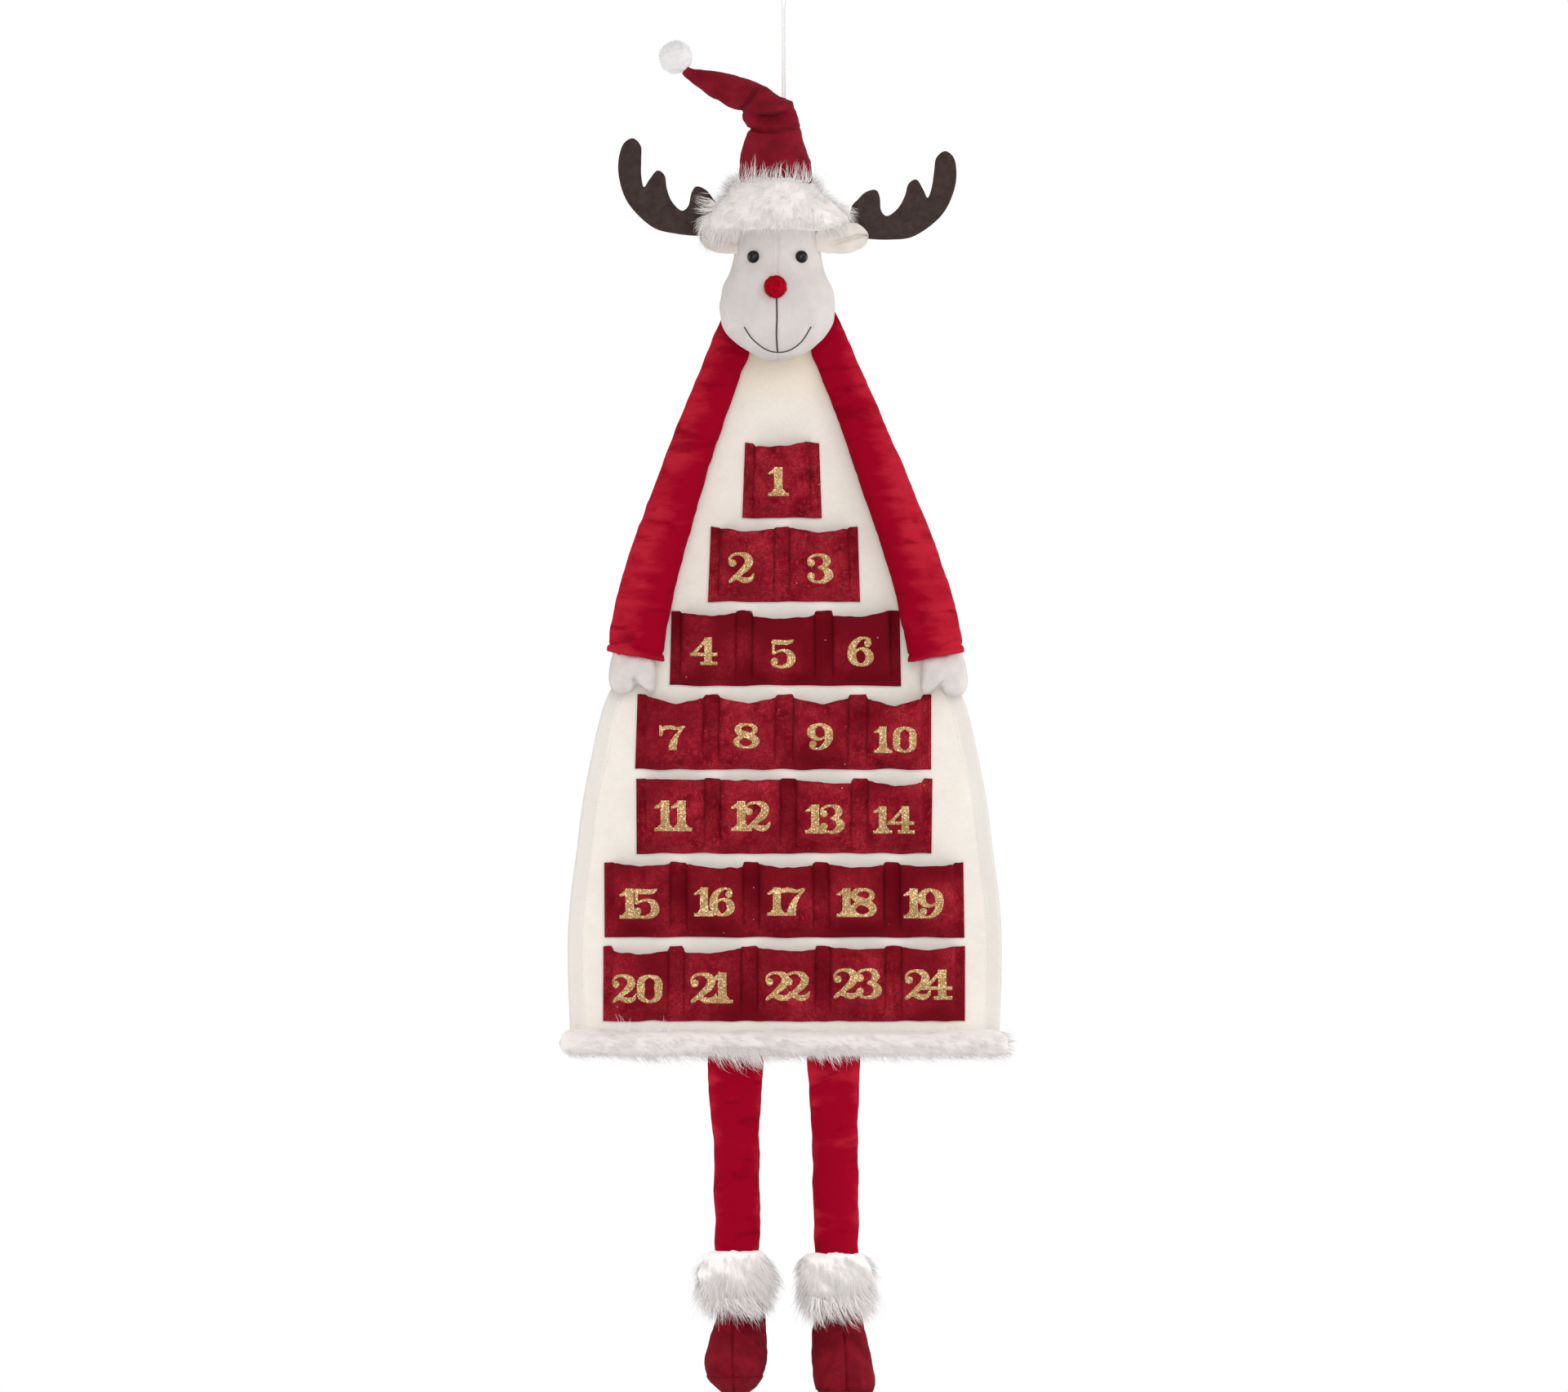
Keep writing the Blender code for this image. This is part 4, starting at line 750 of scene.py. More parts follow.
headGrid = headSkin()
head = stuff("head_skin", headGrid, headFleece, seamColumns(headGrid[0], 0.75, 0.25), 0.0022)
sleeves, hands, legs, boots, soles = {}, {}, {}, {}, {}
twoRings = np.arange(2 * bootShape["around"])
for side, way in (("left", -1), ("right", 1)):
    skin = sleeveSkin(way)
    sleeves[side] = stuff(side + "_sleeve_skin", skin, velour, seamColumns(skin[0], 0.0, 0.5), 0.002)
    seam = np.arange(handShape["around"]) + handShape["rings"] // 2 * handShape["around"]
    hands[side] = stuff(side + "_hand_skin", handSkin(way), handFelt, seam, 0.002)
    skin = legSkin(side)
    legs[side] = stuff(side + "_leg_skin", skin, velour, seamColumns(skin[0], 0.0, 0.5), 0.002)
    skin = bootSkin(bootRows[side], bootShape["rings"], True)
    lastRings = twoRings + (bootShape["rings"] - 1) * bootShape["around"]
    seam = np.r_[seamColumns(skin[0], 0.75, 0.25), lastRings]
    boots[side] = stuff(side + "_boot_skin", skin, bootFelt, seam, 0.0016, 0.001)
    skin = bootSkin(soleRows[side], bootShape["soleRings"], False)
    soles[side] = stuff(side + "_boot_sole_skin", skin, bootFelt, twoRings, 0.0012, 0.0006)
blowUp(stuffed)
print("stuffed skins", len(stuffed))

# the head: sewn middle seam, eyes and nose pulled in a little, chin tucks; a pit is its depth and width
face = {
    "eyes": ((923, 316), (981, 316)), "eyeSize": 0.0112, "eyePit": (0.0022, 0.0095), "nose": (949.5, 353),
    "noseSize": 0.0202, "nosePit": (0.0012, 0.012), "mouthDown": ((951.0, 366), (951.4, 390),
    (950.9, 412), (952.0, 432.3)), "mouthSmile": ((911.5, 402), (921.5, 416.5), (937, 428.6),
    (951.5, 432.6), (967, 430), (981.5, 419.5), (993.2, 401.5)),
}
headSeams = [(((953, 262), (952.5, 300), (951.5, 344)), 0.0014, 0.0012),
             (((952, 433), (952, 443)), 0.0014, 0.0012)]
refine(head, 2)
p, n = readPoints(head), readNormals(head)
facing = eased(-n[:, 1], 0.0, 0.3)
sunk = creases(p, headSeams, facing)
sunk += creases(p, [(face["mouthDown"], 0.0006, 0.002), (face["mouthSmile"], 0.0008, 0.0022)], facing)
pits = [(eye, face["eyePit"]) for eye in face["eyes"]] + [(face["nose"], face["nosePit"])]
for place, (depth, width) in pits:
    away = np.linalg.norm(p[:, [0, 2]] - spot(place), axis=1)
    sunk += facing * depth * np.exp(-(away / width) ** 2)
movePoints(head, p - n * sunk[:, None] + n * (0.00035 * ripple(p, 0.022, 3))[:, None])
finishPiece(head, "body", ["head"])

headTree = BVHTree.FromPolygons([tuple(v) for v in readPoints(head)],
                                [tuple(f.vertices) for f in head.data.polygons])


def onHead(flat):
    # the places on the head's front skin behind x and z, found by a ray along +y
    found = [headTree.ray_cast(Vector((x, -0.2, z)), Vector((0, 1, 0))) for x, z in flat]
    return np.array([hit[0] for hit in found]), np.array([hit[1] for hit in found])


threads = (("mouth_middle_thread", face["mouthDown"], 0.00075),
           ("mouth_smile_thread", face["mouthSmile"], 0.00058))
for name, line, radius in threads:
    flat = evenly(through(spot(line), 60), 0.0008)
    place, lean = onHead(flat)
    points, faces = rope(place + lean * radius * 0.35, radius, 3, 0.0042, 8)
    finishPiece(newPiece(name, points, faces, mouthThread), "body")


def dome(centre, lean, profile, cols):
    # a profile of radius and height turned about the way that the surface faces
    up = unit(np.array(lean, float))
    over = unit(np.cross(up, (0, 0, 1.0)))
    third = np.cross(up, over)
    turn = np.linspace(0, 2 * np.pi, cols, endpoint=False)
    ring = np.cos(turn)[None, :, None] * over + np.sin(turn)[None, :, None] * third
    grid = np.array(centre) + profile[:, 0, None, None] * ring + profile[:, 1, None, None] * up
    return closedTube(grid, np.array(centre) + up * profile[0, 1], np.array(centre) + up * profile[-1, 1])


# gloss black safety eyes: a dome with a fine rim
blackPlastic, shader = newMaterial("blackEyePlastic", Base_Color=linear("#0a0706"), Roughness=0.2,
                                   Specular_IOR_Level=0.25)
place = addNode(blackPlastic, "ShaderNodeTexCoord")["Object"]
dust = addNode(blackPlastic, "ShaderNodeTexNoise", {"Vector": place, "Scale": 600.0})["Fac"]
haze = addNode(blackPlastic, "ShaderNodeMapRange", {"Value": dust, "To Min": 0.14,
                                                    "To Max": 0.28})["Result"]
blackPlastic.node_tree.links.new(haze, shader.inputs["Roughness"])
for side, eye in zip(("left", "right"), face["eyes"]):
    place, lean = onHead(spot([eye]))
    way = unit(np.array([lean[0][0] * 0.6, -1, 0.0]))
    r = face["eyeSize"] / 2
    arc = np.linspace(0.0, np.pi / 2 - 0.02, 18)
    rim = np.array([(r * 0.5, -0.0016), (r * 0.93, -0.0016), (r, -0.001), (r, -0.0002)])
    bowl = np.column_stack([r * np.cos(arc), 0.0048 * np.sin(arc)])
    points, faces = dome(place[0] + way * 0.001, way, np.vstack([rim, bowl]), 40)
    finishPiece(newPiece(side + "_eye_dome", points, faces, blackPlastic), "body",
                [side + "_eye"])
print("head and face")


# sleeves: turned hem with its seam, soft dents, elbow creases; nap patches and a painted sheen come from the
# material
sleeveCreases = {
    "left": [(((800, 560), (815, 566), (836, 565)), 0.0012, 0.004), (((778, 604), (800, 608),
    (822, 604)), 0.0013, 0.0038), (((782, 633), (800, 640), (815, 636)), 0.0016, 0.004), (((776, 700),
    (795, 706), (815, 702)), 0.001, 0.005), (((755, 745), (775, 748), (800, 742)), 0.0012, 0.0045)],
    "right": [(((1040, 470), (1055, 478), (1068, 476)), 0.001, 0.004), (((1078, 585), (1092, 580),
    (1112, 590)), 0.0012, 0.0045), (((1090, 640), (1108, 636), (1128, 640)), 0.0014, 0.0042),
    (((1100, 700), (1125, 694), (1148, 704)), 0.0012, 0.005), (((1118, 745), (1140, 740),
    (1165, 748)), 0.0012, 0.0045)],
}
cuffEnds = {"left": ((743.4, 797.8), (812.4, 810.6)), "right": ((1111.6, 812.0), (1180.6, 799.0))}
sleeveAxis = ((-0.6, -0.322), (-0.1322, -0.0462))      # z and x of the left sleeve's middle, low and high
handTucks = {"left": ((781.6, 843), (779, 836), (775, 830)), "right": ((1148.4, 846), (1151, 839),
        (1155, 833))}
legDents = {
    "left": [(((880, 1392), (900, 1396), (918, 1391)), 0.001, 0.004), (((878, 1452), (898, 1456),
    (920, 1450)), 0.0009, 0.0045), (((884, 1492), (905, 1496), (922, 1490)), 0.0008, 0.0045)],
    "right": [(((1000, 1428), (1020, 1431), (1040, 1427)), 0.001, 0.004), (((1002, 1482), (1022, 1486),
    (1042, 1480)), 0.0008, 0.0045)],
}
# x of the leg's middle, low and high
legAxis = {"left": (-0.0413, -0.0425), "right": (0.0465, 0.0436)}
bootSeams = {
    "left": ((897.4, 1600), (897.2, 1630), (897.0, 1660), (897.3, 1684), (898.9, 1706)),
    "right": ((1032, 1600), (1033.2, 1631), (1034.9, 1654), (1036.6, 1690), (1037.6, 1720)),
}
rippleSeeds = {"left": (11, 31), "right": (12, 32)}      # for the sleeve and the leg
for side, way in (("left", -1), ("right", 1)):
    piece = sleeves[side]
    refine(piece)
    p, n = readPoints(piece), readNormals(piece)
    a, b = spot(cuffEnds[side])
    ahead = unit(b - a)
    # height above the cuff's edge
    rise = (p[:, [0, 2]] - a) @ np.array([-ahead[1], ahead[0]])
    move = -creases(p, sleeveCreases[side], eased(-n[:, 1], -0.2, 0.3))
    move += (0.0004 * ripple(p, 0.03, rippleSeeds[side][0]) + 0.00015 * ripple(p, 0.009, 5)
             + 0.0004 * ripple(p, 0.0035, 7) * np.exp(-(rise / 0.007) ** 2))
    body = eased(rise, 0.0, 0.0012)
    move += (-0.0012 * np.exp(-((rise - 0.0068) / 0.0012) ** 2) * body
             + 0.0011 * np.exp(-((rise - 0.003) / 0.003) ** 2) * body)      # the hem's seam and its roll
    p = p + n * move[:, None]
    p[:, 1] = np.minimum(p[:, 1], boardFront)
    movePoints(piece, p)
    # the outer side is marked paler, which is painted sheen where the sleeve curves away; the band within
    # about 8 mm of the cuff's edge is marked paler too
    outer = (p[:, 0] + np.interp(p[:, 2], *sleeveAxis) * way) / 0.024 * way
    markPoints(piece, "sheenAndNap", 0.72 * eased(outer, -0.45, 0.85) + 0.5 * np.exp(-(rise / 0.008) ** 2))
    finishPiece(piece, side + "_arm", [side + "_sleeve"])

    piece = hands[side]
    refine(piece)
    p, n = readPoints(piece), readNormals(piece)
    middle = boardFront - handShape["middle"]
    seam = np.exp(-((p[:, 1] - middle) / 0.0009) ** 2) * eased(np.abs(n[:, 1]), 0.6, 0.2)
    move = -0.0005 * seam - creases(p, [(handTucks[side], 0.0011, 0.0022)]) + 0.00035 * ripple(p, 0.012,
            21)
    movePoints(piece, p + n * move[:, None])
    finishPiece(piece, side + "_arm", [side + "_hand"])

    piece = legs[side]
    refine(piece)
    p, n = readPoints(piece), readNormals(piece)
    move = (-creases(p, legDents[side], eased(-n[:, 1], -0.2, 0.3)) + 0.0004 * ripple(p, 0.028,
            rippleSeeds[side][1])
            + 0.00015 * ripple(p, 0.009, 6))
    movePoints(piece, p + n * (move * eased(-p[:, 2], 0.957, 0.975))[:, None])
    # the leg's two edges are marked paler, which is painted sheen; the patches are the pile's own unevenness
    middleX = np.interp(p[:, 2], (-1.12, -0.955), legAxis[side])
    patches = 0.3 * np.maximum(ripple(p * (1, 1, 2.4), 0.05, 33), 0)
    markPoints(piece, "sheenAndNap", 0.55 * eased(np.abs(p[:, 0] - middleX), 0.01, 0.023) + patches - 0.1)
    finishPiece(piece, side + "_leg", [side + "_leg"])

    piece = boots[side]
    refine(piece, 2)
    p, n = readPoints(piece), readNormals(piece)
    move = (-creases(p, [(bootSeams[side], 0.0021, 0.0009)], eased(-n[:, 1], 0.0, 0.2))
            + 0.0004 * ripple(p, 0.018, 41) + 0.00012 * ripple(p, 0.007, 42))
    movePoints(piece, p + n * move[:, None])
    finishPiece(piece, side + "_leg", [side + "_boot"])

    piece = soles[side]
    refine(piece, 2)
    p, n = readPoints(piece), readNormals(piece)
    move = 0.0003 * ripple(p, 0.014, 43) - creases(p, [(bootSeams[side], 0.0019, 0.0009)],
                                                   eased(-n[:, 1], 0.0, 0.2))
    movePoints(piece, p + n * move[:, None])
    finishPiece(piece, side + "_leg", [side + "_boot_sole"])
print("sleeves, hands, legs and boots")


# hat, ears and antlers

# left and right edge of the hat in picture pixels, from inside the fur up to its tip
hatRows = (
    (903, 240, 997, 240), (904, 222, 995.5, 222), (905.5, 206, 993.5, 209), (906.5, 197, 992.5, 201),
    (908.8, 186, 989.5, 191), (911.8, 174, 985, 179), (915.5, 163, 981, 168), (918.2, 158.5, 979, 159),
    (915.0, 153, 977.5, 151), (911.0, 146, 975.8, 142), (909.6, 140, 973, 132.5),
    (907.5, 137.3, 963, 123.5), (901, 135, 950.5, 116), (890, 130.5, 936, 106), (877, 123.5, 916, 98),
    (866, 116.5, 896, 92), (855, 108.5, 876, 88.3), (845.5, 101, 860, 86), (839.6, 96.5, 849, 85.4),
    (835, 91, 842, 82),
)
hatMiddle = -0.0346
hatDeep = (0.82, 0.82, 0.82, 0.82, 0.8, 0.8, 0.78, 0.72, 0.8, 0.82, 0.8, 0.8, 0.82, 0.84, 0.86, 0.88, 0.9,
           0.9, 0.9, 0.9)


def hatSkin():
    rows = np.array(hatRows)
    half = np.linalg.norm(spot(rows[:, 2:]) - spot(rows[:, :2]), axis=1) / 2 * np.array(hatDeep)
    grid = edgeRings(rows, hatMiddle - half, hatMiddle + half, 230, 120)
    return closedTube(grid, grid[0].mean(0), grid[-1].mean(0))


points, faces = hatSkin()
hat = newPiece("hat_felt_cone", points, faces, wineFelt)
p, n = readPoints(hat), readNormals(hat)
front, facing = eased(-n[:, 1], -0.35, 0.25), eased(-n[:, 1], 0.0, 0.5)
folds = [
    (((970, 150), (974, 158), (978, 166)), -0.0012, 0.004), (((911, 142), (913, 149),
    (916, 155)), -0.0016, 0.003), (((909, 136), (916, 126), (926, 109)), 0.0044, 0.002), (((918, 138),
    (926, 126), (937, 112)), -0.0018, 0.003), (((919, 182), (922, 195), (919, 208)), 0.0012, 0.0028),
    (((983, 186), (979, 198), (981, 210)), 0.0012, 0.0028), (((868, 108), (890, 118),
    (905, 128)), 0.0008, 0.003), (((928, 157), (938, 152), (946, 143)), 0.0016, 0.0022), (((921, 168),
    (940, 171), (965, 170)), 0.0008, 0.0026),
]
rear = [
    (((912, 156), (940, 152), (974, 157)), 0.0036, 0.0028), (((968, 134), (945, 140),
    (925, 150)), 0.0026, 0.003), (((915, 134), (930, 120), (938, 110)), 0.0022, 0.003),
]
move = -creases(p, folds, front) - creases(p, rear, 1 - front)


def belowLine(points, line):
    # how far each point is under a line that runs from left to right
    path = spot(line)
    return np.interp(points[:, 0], path[:, 0], path[:, 1]) - points[:, 2]


# the tail's lower edge overhangs the bulge under it, and the bulge overhangs the cone
under = belowLine(p, ((905, 137), (918, 138), (932, 139.5), (948, 138), (962, 134.5), (976, 130)))
reach = eased(p[:, 0], xAt(906), xAt(914)) * eased(p[:, 0], xAt(976), xAt(966)) * front
hollow = 0.25 + 0.75 * eased(p[:, 0], xAt(917), xAt(931)) * eased(p[:, 0], xAt(967), xAt(955))
overhang = 0.0024 * np.exp(-((under + 0.0028) / 0.003) ** 2)
pit = 0.0125 * hollow * eased(under, -0.0004, 0.0016) * np.exp(-(np.maximum(under, 0) / 0.0125) ** 1.5)
move += reach * (overhang - pit)
bumps = 0
for tall, across, down, wide, high in ((0.001, 970, 150, 0.006, 0.01), (0.0018, 916, 147, 0.005, 0.008)):
    bumps += tall * np.exp(-(((p[:, 0] - xAt(across)) / wide) ** 2 + ((p[:, 2] - zAt(down)) / high) ** 2))
move += front * bumps
tuck = belowLine(p, ((905, 157), (918, 159), (932, 160.5), (950, 160.5), (966, 159), (985, 157)))
deep = np.interp(p[:, 0], xAt(np.array((912, 925, 955, 985))), (0.004, 0.0046, 0.003, 0.001)) * facing
raised = 0.35 * np.exp(-((tuck + 0.0022) / 0.002) ** 2) * eased(-tuck, -0.0002, 0.0006)
move += deep * (raised - np.exp(-(tuck / 0.0011) ** 2))
tight = eased(p[:, 2], -0.125, -0.092)
move += 0.0004 * ripple(p, 0.018, 51) * (1 - 0.5 * tight) + 0.00012 * ripple(p, 0.006, 52)
p = p + n * move[:, None]
movePoints(hat, p)
finishPiece(hat, "body", ["hat_cone"])


def ear(way):
    # u runs from the root to the tip and v from the lower to the upper edge; the skin stands out by
    # thickness * sqrt(1 - (2v - 1)^2) * sqrt(1 - u^4), and a long crease sinks its front
    upper = ((998, 286), (1012, 279.5), (1030, 275.2), (1045, 273.8), (1055.5, 277.5), (1061.5, 284),
             (1063.2, 291))
    lower = ((1000, 309), (1015, 311.8), (1030, 312), (1043, 310.8), (1053.5, 306), (1060.5, 299),
             (1063.2, 291))
    top, low = spot(through(upper, 40)), spot(through(lower, 40))
    u, v = np.linspace(0, 1, 40)[:, None], np.linspace(0, 1, 33)[None]
    edge = np.sqrt(np.clip(1 - (2 * v - 1) ** 2, 0, 1)) * np.sqrt(np.clip(1 - u ** 6, 0, 1))
    x = low[:, 0:1] + (top - low)[:, 0:1] * v
    z = low[:, 1:2] + (top - low)[:, 1:2] * v
    cup = -0.0415 - 0.005 * (2 * v - 1) ** 2 + 0.004 * u
    crease = 0.0052 * np.exp(-((v - 0.3 - 0.42 * u) / 0.07) ** 2) * eased(u, 0.1, 0.35) * (1 - 0.35 * u)
    front = np.stack([x, cup - 0.0042 * edge + crease, z], -1)
    back = np.stack([x, cup + 0.0018 * edge + crease * 0.6, z], -1)
    # one ring round the leaf for each step along it
    grid = np.concatenate([front, back[:, ::-1][:, 1:-1]], 1)
    if way < 0:
        grid = grid * (-1, 1, 1)
    return closedTube(grid[:-1], grid[0].mean(0), grid[-1].mean(0))


for side, way in (("left", -1), ("right", 1)):
    points, faces = ear(way)
    piece = newPiece(side + "_ear_leaf", points, faces, earFleece)
    p, n = readPoints(piece), readNormals(piece)
    movePoints(piece, p + n * (0.0003 * ripple(p, 0.012, 61))[:, None])
    refine(piece)
    finishPiece(piece, "body", [side + "_ear"])

antlerShape = {
    "width": 0.0882, "height": 0.085, "felt": 0.0034, "root": 0.052, "drop": 0.0445, "forward": 0.028,
    "sag": {"left": 0.0, "right": 8.0}, "out": {"left": 0.0, "right": 0.0095},
}
antlerShares = (
    (0.02, 0.0), (0.17, -0.015), (0.43, 0.01), (0.67, 0.085), (0.91, 0.34), (1.0, 0.65), (0.965, 0.91),
    (0.86, 1.0), (0.775, 0.92), (0.77, 0.78), (0.77, 0.62), (0.745, 0.495), (0.69, 0.57), (0.61, 0.665),
    (0.535, 0.61), (0.515, 0.48), (0.465, 0.345), (0.37, 0.25), (0.3, 0.3), (0.27, 0.43), (0.22, 0.5),
    (0.125, 0.465), (0.055, 0.375), (0.0, 0.27),
)


def antler(side, way):
    # the rounded outline is filled, given its thickness and a small round along both edges
    a = antlerShape
    line = through(antlerShares, 24 * 7, closed=True) * (a["width"], a["height"])
    turn = math.radians(a["sag"][side])
    over = a["root"] + a["out"][side] + line[:, 0] * math.cos(turn) + line[:, 1] * math.sin(turn)
    x = headShape["shift"] + way * over
    z = headShape["top"] - a["drop"] + line[:, 1] * math.cos(turn) - line[:, 0] * math.sin(turn)
    count = len(x)
    flat = np.column_stack([x, np.zeros(count), z])
    ahead = unit(np.roll(flat, -1, 0) - np.roll(flat, 1, 0))
    inside = np.column_stack([-ahead[:, 2], np.zeros(count), ahead[:, 0]])
    area = 0.5 * np.sum(x * np.roll(z, -1) - z * np.roll(x, -1))
    inside *= np.sign(area)
    half, curve = a["felt"] / 2, 0.0009
    rings = []
    for turnBy in np.linspace(-90, 90, 9):
        bend = math.radians(turnBy)
        level = math.copysign(half - curve, turnBy) if turnBy else 0.0
        rings.append(flat + inside * (curve * (1 - math.cos(bend))) + (0, level + curve * math.sin(bend),
                0))
    grid = np.array(rings)
    grid[..., 1] += headFrontOfAntler
    walls = gridQuads(9, count, True)
    caps = [[tuple(range(count))], [tuple(range(8 * count, 9 * count))]]
    return grid, walls, caps, abs(area)


headFrontOfAntler = boardFront - antlerShape["forward"] - antlerShape["felt"] / 2
for side, way in (("left", -1), ("right", 1)):
    grid, walls, caps, flatArea = antler(side, way)
    mesh = bpy.data.meshes.new(side + "_antler_cutout")
    mesh.from_pydata([tuple(v) for v in grid.reshape(-1, 3)], [],
                     [tuple(f) for f in walls.tolist()] + caps[0] + caps[1])
    piece = bpy.data.objects.new(side + "_antler_cutout", mesh)
    bpy.context.scene.collection.objects.link(piece)
    shape = bmesh.new()
    shape.from_mesh(mesh)
    bmesh.ops.triangulate(shape, faces=[f for f in shape.faces if len(f.verts) > 4])
    bmesh.ops.recalc_face_normals(shape, faces=shape.faces)
    shape.to_mesh(mesh)
    shape.free()
    mesh.materials.append(antlerFelt)
    mesh.shade_smooth()
    mesh.set_sharp_from_angle(angle=math.radians(40))
    finishPiece(piece, "body", [side + "_antler"])
print("hat, ears and antlers")


# panels

panelShape = {"shift": 0.0007, "width": 0.383, "top": -0.262, "height": 0.676, "felt": 0.002,
              "between": 0.0003, "allowance": 0.0125, "columns": 97}
panelShares = (
    (0.0, 0.145), (0.045, 0.165), (0.1, 0.225), (0.165, 0.305), (0.27, 0.44), (0.345, 0.535),
    (0.41, 0.61), (0.495, 0.715), (0.548, 0.813), (0.58, 0.852), (0.628, 0.89), (0.69, 0.932),
    (0.75, 0.958), (0.8, 0.982), (0.852, 0.998), (0.893, 1.0), (0.933, 0.997), (1.0, 0.988),
)


panelLine = through(panelShares, 230)


def panel(front, back):
    # x = half width at that height * u, z falls evenly, and y waves gently towards the free side edges
    t, columns = panelLine, panelShape["columns"]
    down = panelShape["top"] - t[:, 0] * panelShape["height"]
    half = t[:, 1] * panelShape["width"] / 2
    u = np.sin(np.linspace(-np.pi / 2, np.pi / 2, columns)) * 0.25 + np.linspace(-1, 1, columns) * 0.75
    x = panelShape["shift"] + half[:, None] * u[None]
    z = np.repeat(down[:, None], columns, 1)
    flat = np.stack([x, z], -1)
    free = eased(np.abs(u), 0.86, 1.0)[None] * eased(-down, 0.62, 0.7)[:, None] * eased(-down, 0.925,
            0.9)[:, None]
    y = free * (0.0016 * ripple(flat * (0.2, 1), 0.09, 71)) + 0.00012 * ripple(flat, 0.03, 72)
    rim = np.minimum(half[:, None] * (1 - np.abs(u[None])), 0.1)
    seam = eased(rim, panelShape["allowance"] + 0.001, panelShape["allowance"] - 0.001)
    sewn = np.exp(-((rim - panelShape["allowance"]) / 0.0007) ** 2) * 0.00035 * eased(-down, 0.36,
            0.38)[:, None]
    return np.stack([x, y + front + sewn, z], -1), np.stack([x, y + back - sewn, z], -1), seam, rim


feltFront = boardFront + panelShape["between"]
frontGrid = panel(feltFront, feltFront + panelShape["felt"])
backGrid = panel(boardBack - panelShape["felt"], boardBack)
for name, grids, node in (("front_panel_felt", frontGrid, "front_panel"),
                          ("back_panel_felt", backGrid, "back_panel")):
    points, faces = closedSlab(grids[0], grids[1])
    piece = newPiece(name, points, faces, creamFelt)
    # the seam allowance's share, which the felt turns grey as painted shade along the edge
    markPoints(piece, "seam", np.tile(grids[2].ravel(), 2))
    finishPiece(piece, "body", [node])


def stitchRow(starts, ends, faceWay, radius, sink=0.35):
    # each stitch is a small spindle from start to end: radius * sqrt(1 - s^4) round its line, six sided
    reach = (ends - starts) / 2
    middle = (ends + starts) / 2
    ahead = unit(reach)
    up = np.broadcast_to(unit(np.array(faceWay, float)), ahead.shape)
    over = unit(np.cross(ahead, up))
    up = np.cross(over, ahead)
    s = np.array([-0.92, -0.6, 0.0, 0.6, 0.92])
    fat = np.sqrt(1 - s ** 4) * radius
    turn = np.linspace(0, 2 * np.pi, 6, endpoint=False)
    # 6 x n x 3
    ring = (np.cos(turn)[:, None, None] * up[None] + np.sin(turn)[:, None, None] * over[None])
    grid = middle[None, None] + s[:, None, None, None] * reach[None, None]
    grid = grid + fat[:, None, None, None] * ring[None]
    grid = grid + up[None, None] * radius * (1 - 2 * sink)
    # n x 5 x 6 x 3
    grid = np.moveaxis(grid, 2, 0)
    count = len(starts)
    tips = np.stack([middle - reach, middle + reach], 1) + up[:, None] * radius * (1 - 2 * sink)
    points = np.concatenate([grid.reshape(count, 30, 3), tips], 1)
    _, faces = closedTube(grid[0], tips[0, 0], tips[0, 1])
    lift = (np.arange(count) * 32)[:, None, None]
    return points.reshape(-1, 3), [(f[None] + lift).reshape(-1, f.shape[1]) for f in faces]


def joined(parts):
    # several sets of points and faces as one
    points, faces, base = [], {}, 0
    for block, groups in parts:
        points.append(block)
        for group in groups:
            faces.setdefault(group.shape[1], []).append(group + base)
        base += len(block)
    return np.vstack(points), [np.vstack(f) for f in faces.values()]


def along(line, length, space):
    # starts and ends of stitches of this length with this space between them, along a line
    fine = evenly(line, (length + space) / 4)
    k = np.arange(0, len(fine) - 4, 4)
    return fine[k], fine[k] + (fine[k + 4] - fine[k]) * (length / (length + space))


edgeStitches = []
for grids, faceY, way in ((frontGrid, 0, -1), (backGrid, 1, 1)):
    rows = np.arange(38, 222)
    for left in (True, False):
        cols = range(0, 49) if left else range(48, 97)
        picked = []
        for r in rows:
            c = min(cols, key=lambda k: abs(grids[3][r, k] - panelShape["allowance"]))
            picked.append(grids[faceY][r, c])
        line = np.array(picked)
        line[:, 0] = through(line[::12, [0]], len(line))[:, 0]
        starts, ends = along(line, 0.0022, 0.0009)
        edgeStitches.append(stitchRow(starts, ends, (0, way, 0), 0.00028, 0.4))
points, faces = joined(edgeStitches)
finishPiece(newPiece("panel_edge_stitches", points, faces, creamThread, outward=False), "body")


# pocket rows

pocketSet = {"felt": 0.0016, "depth": 0.014, "height": 0.0662, "end": 0.0076, "gusset": 0.0022,
             "tabShare": 0.46}
levelShares = ((0.0, 0.02), (0.07, 0.04), (0.22, 0.58), (0.5, 0.85), (0.8, 0.97), (1.0, 1.0))
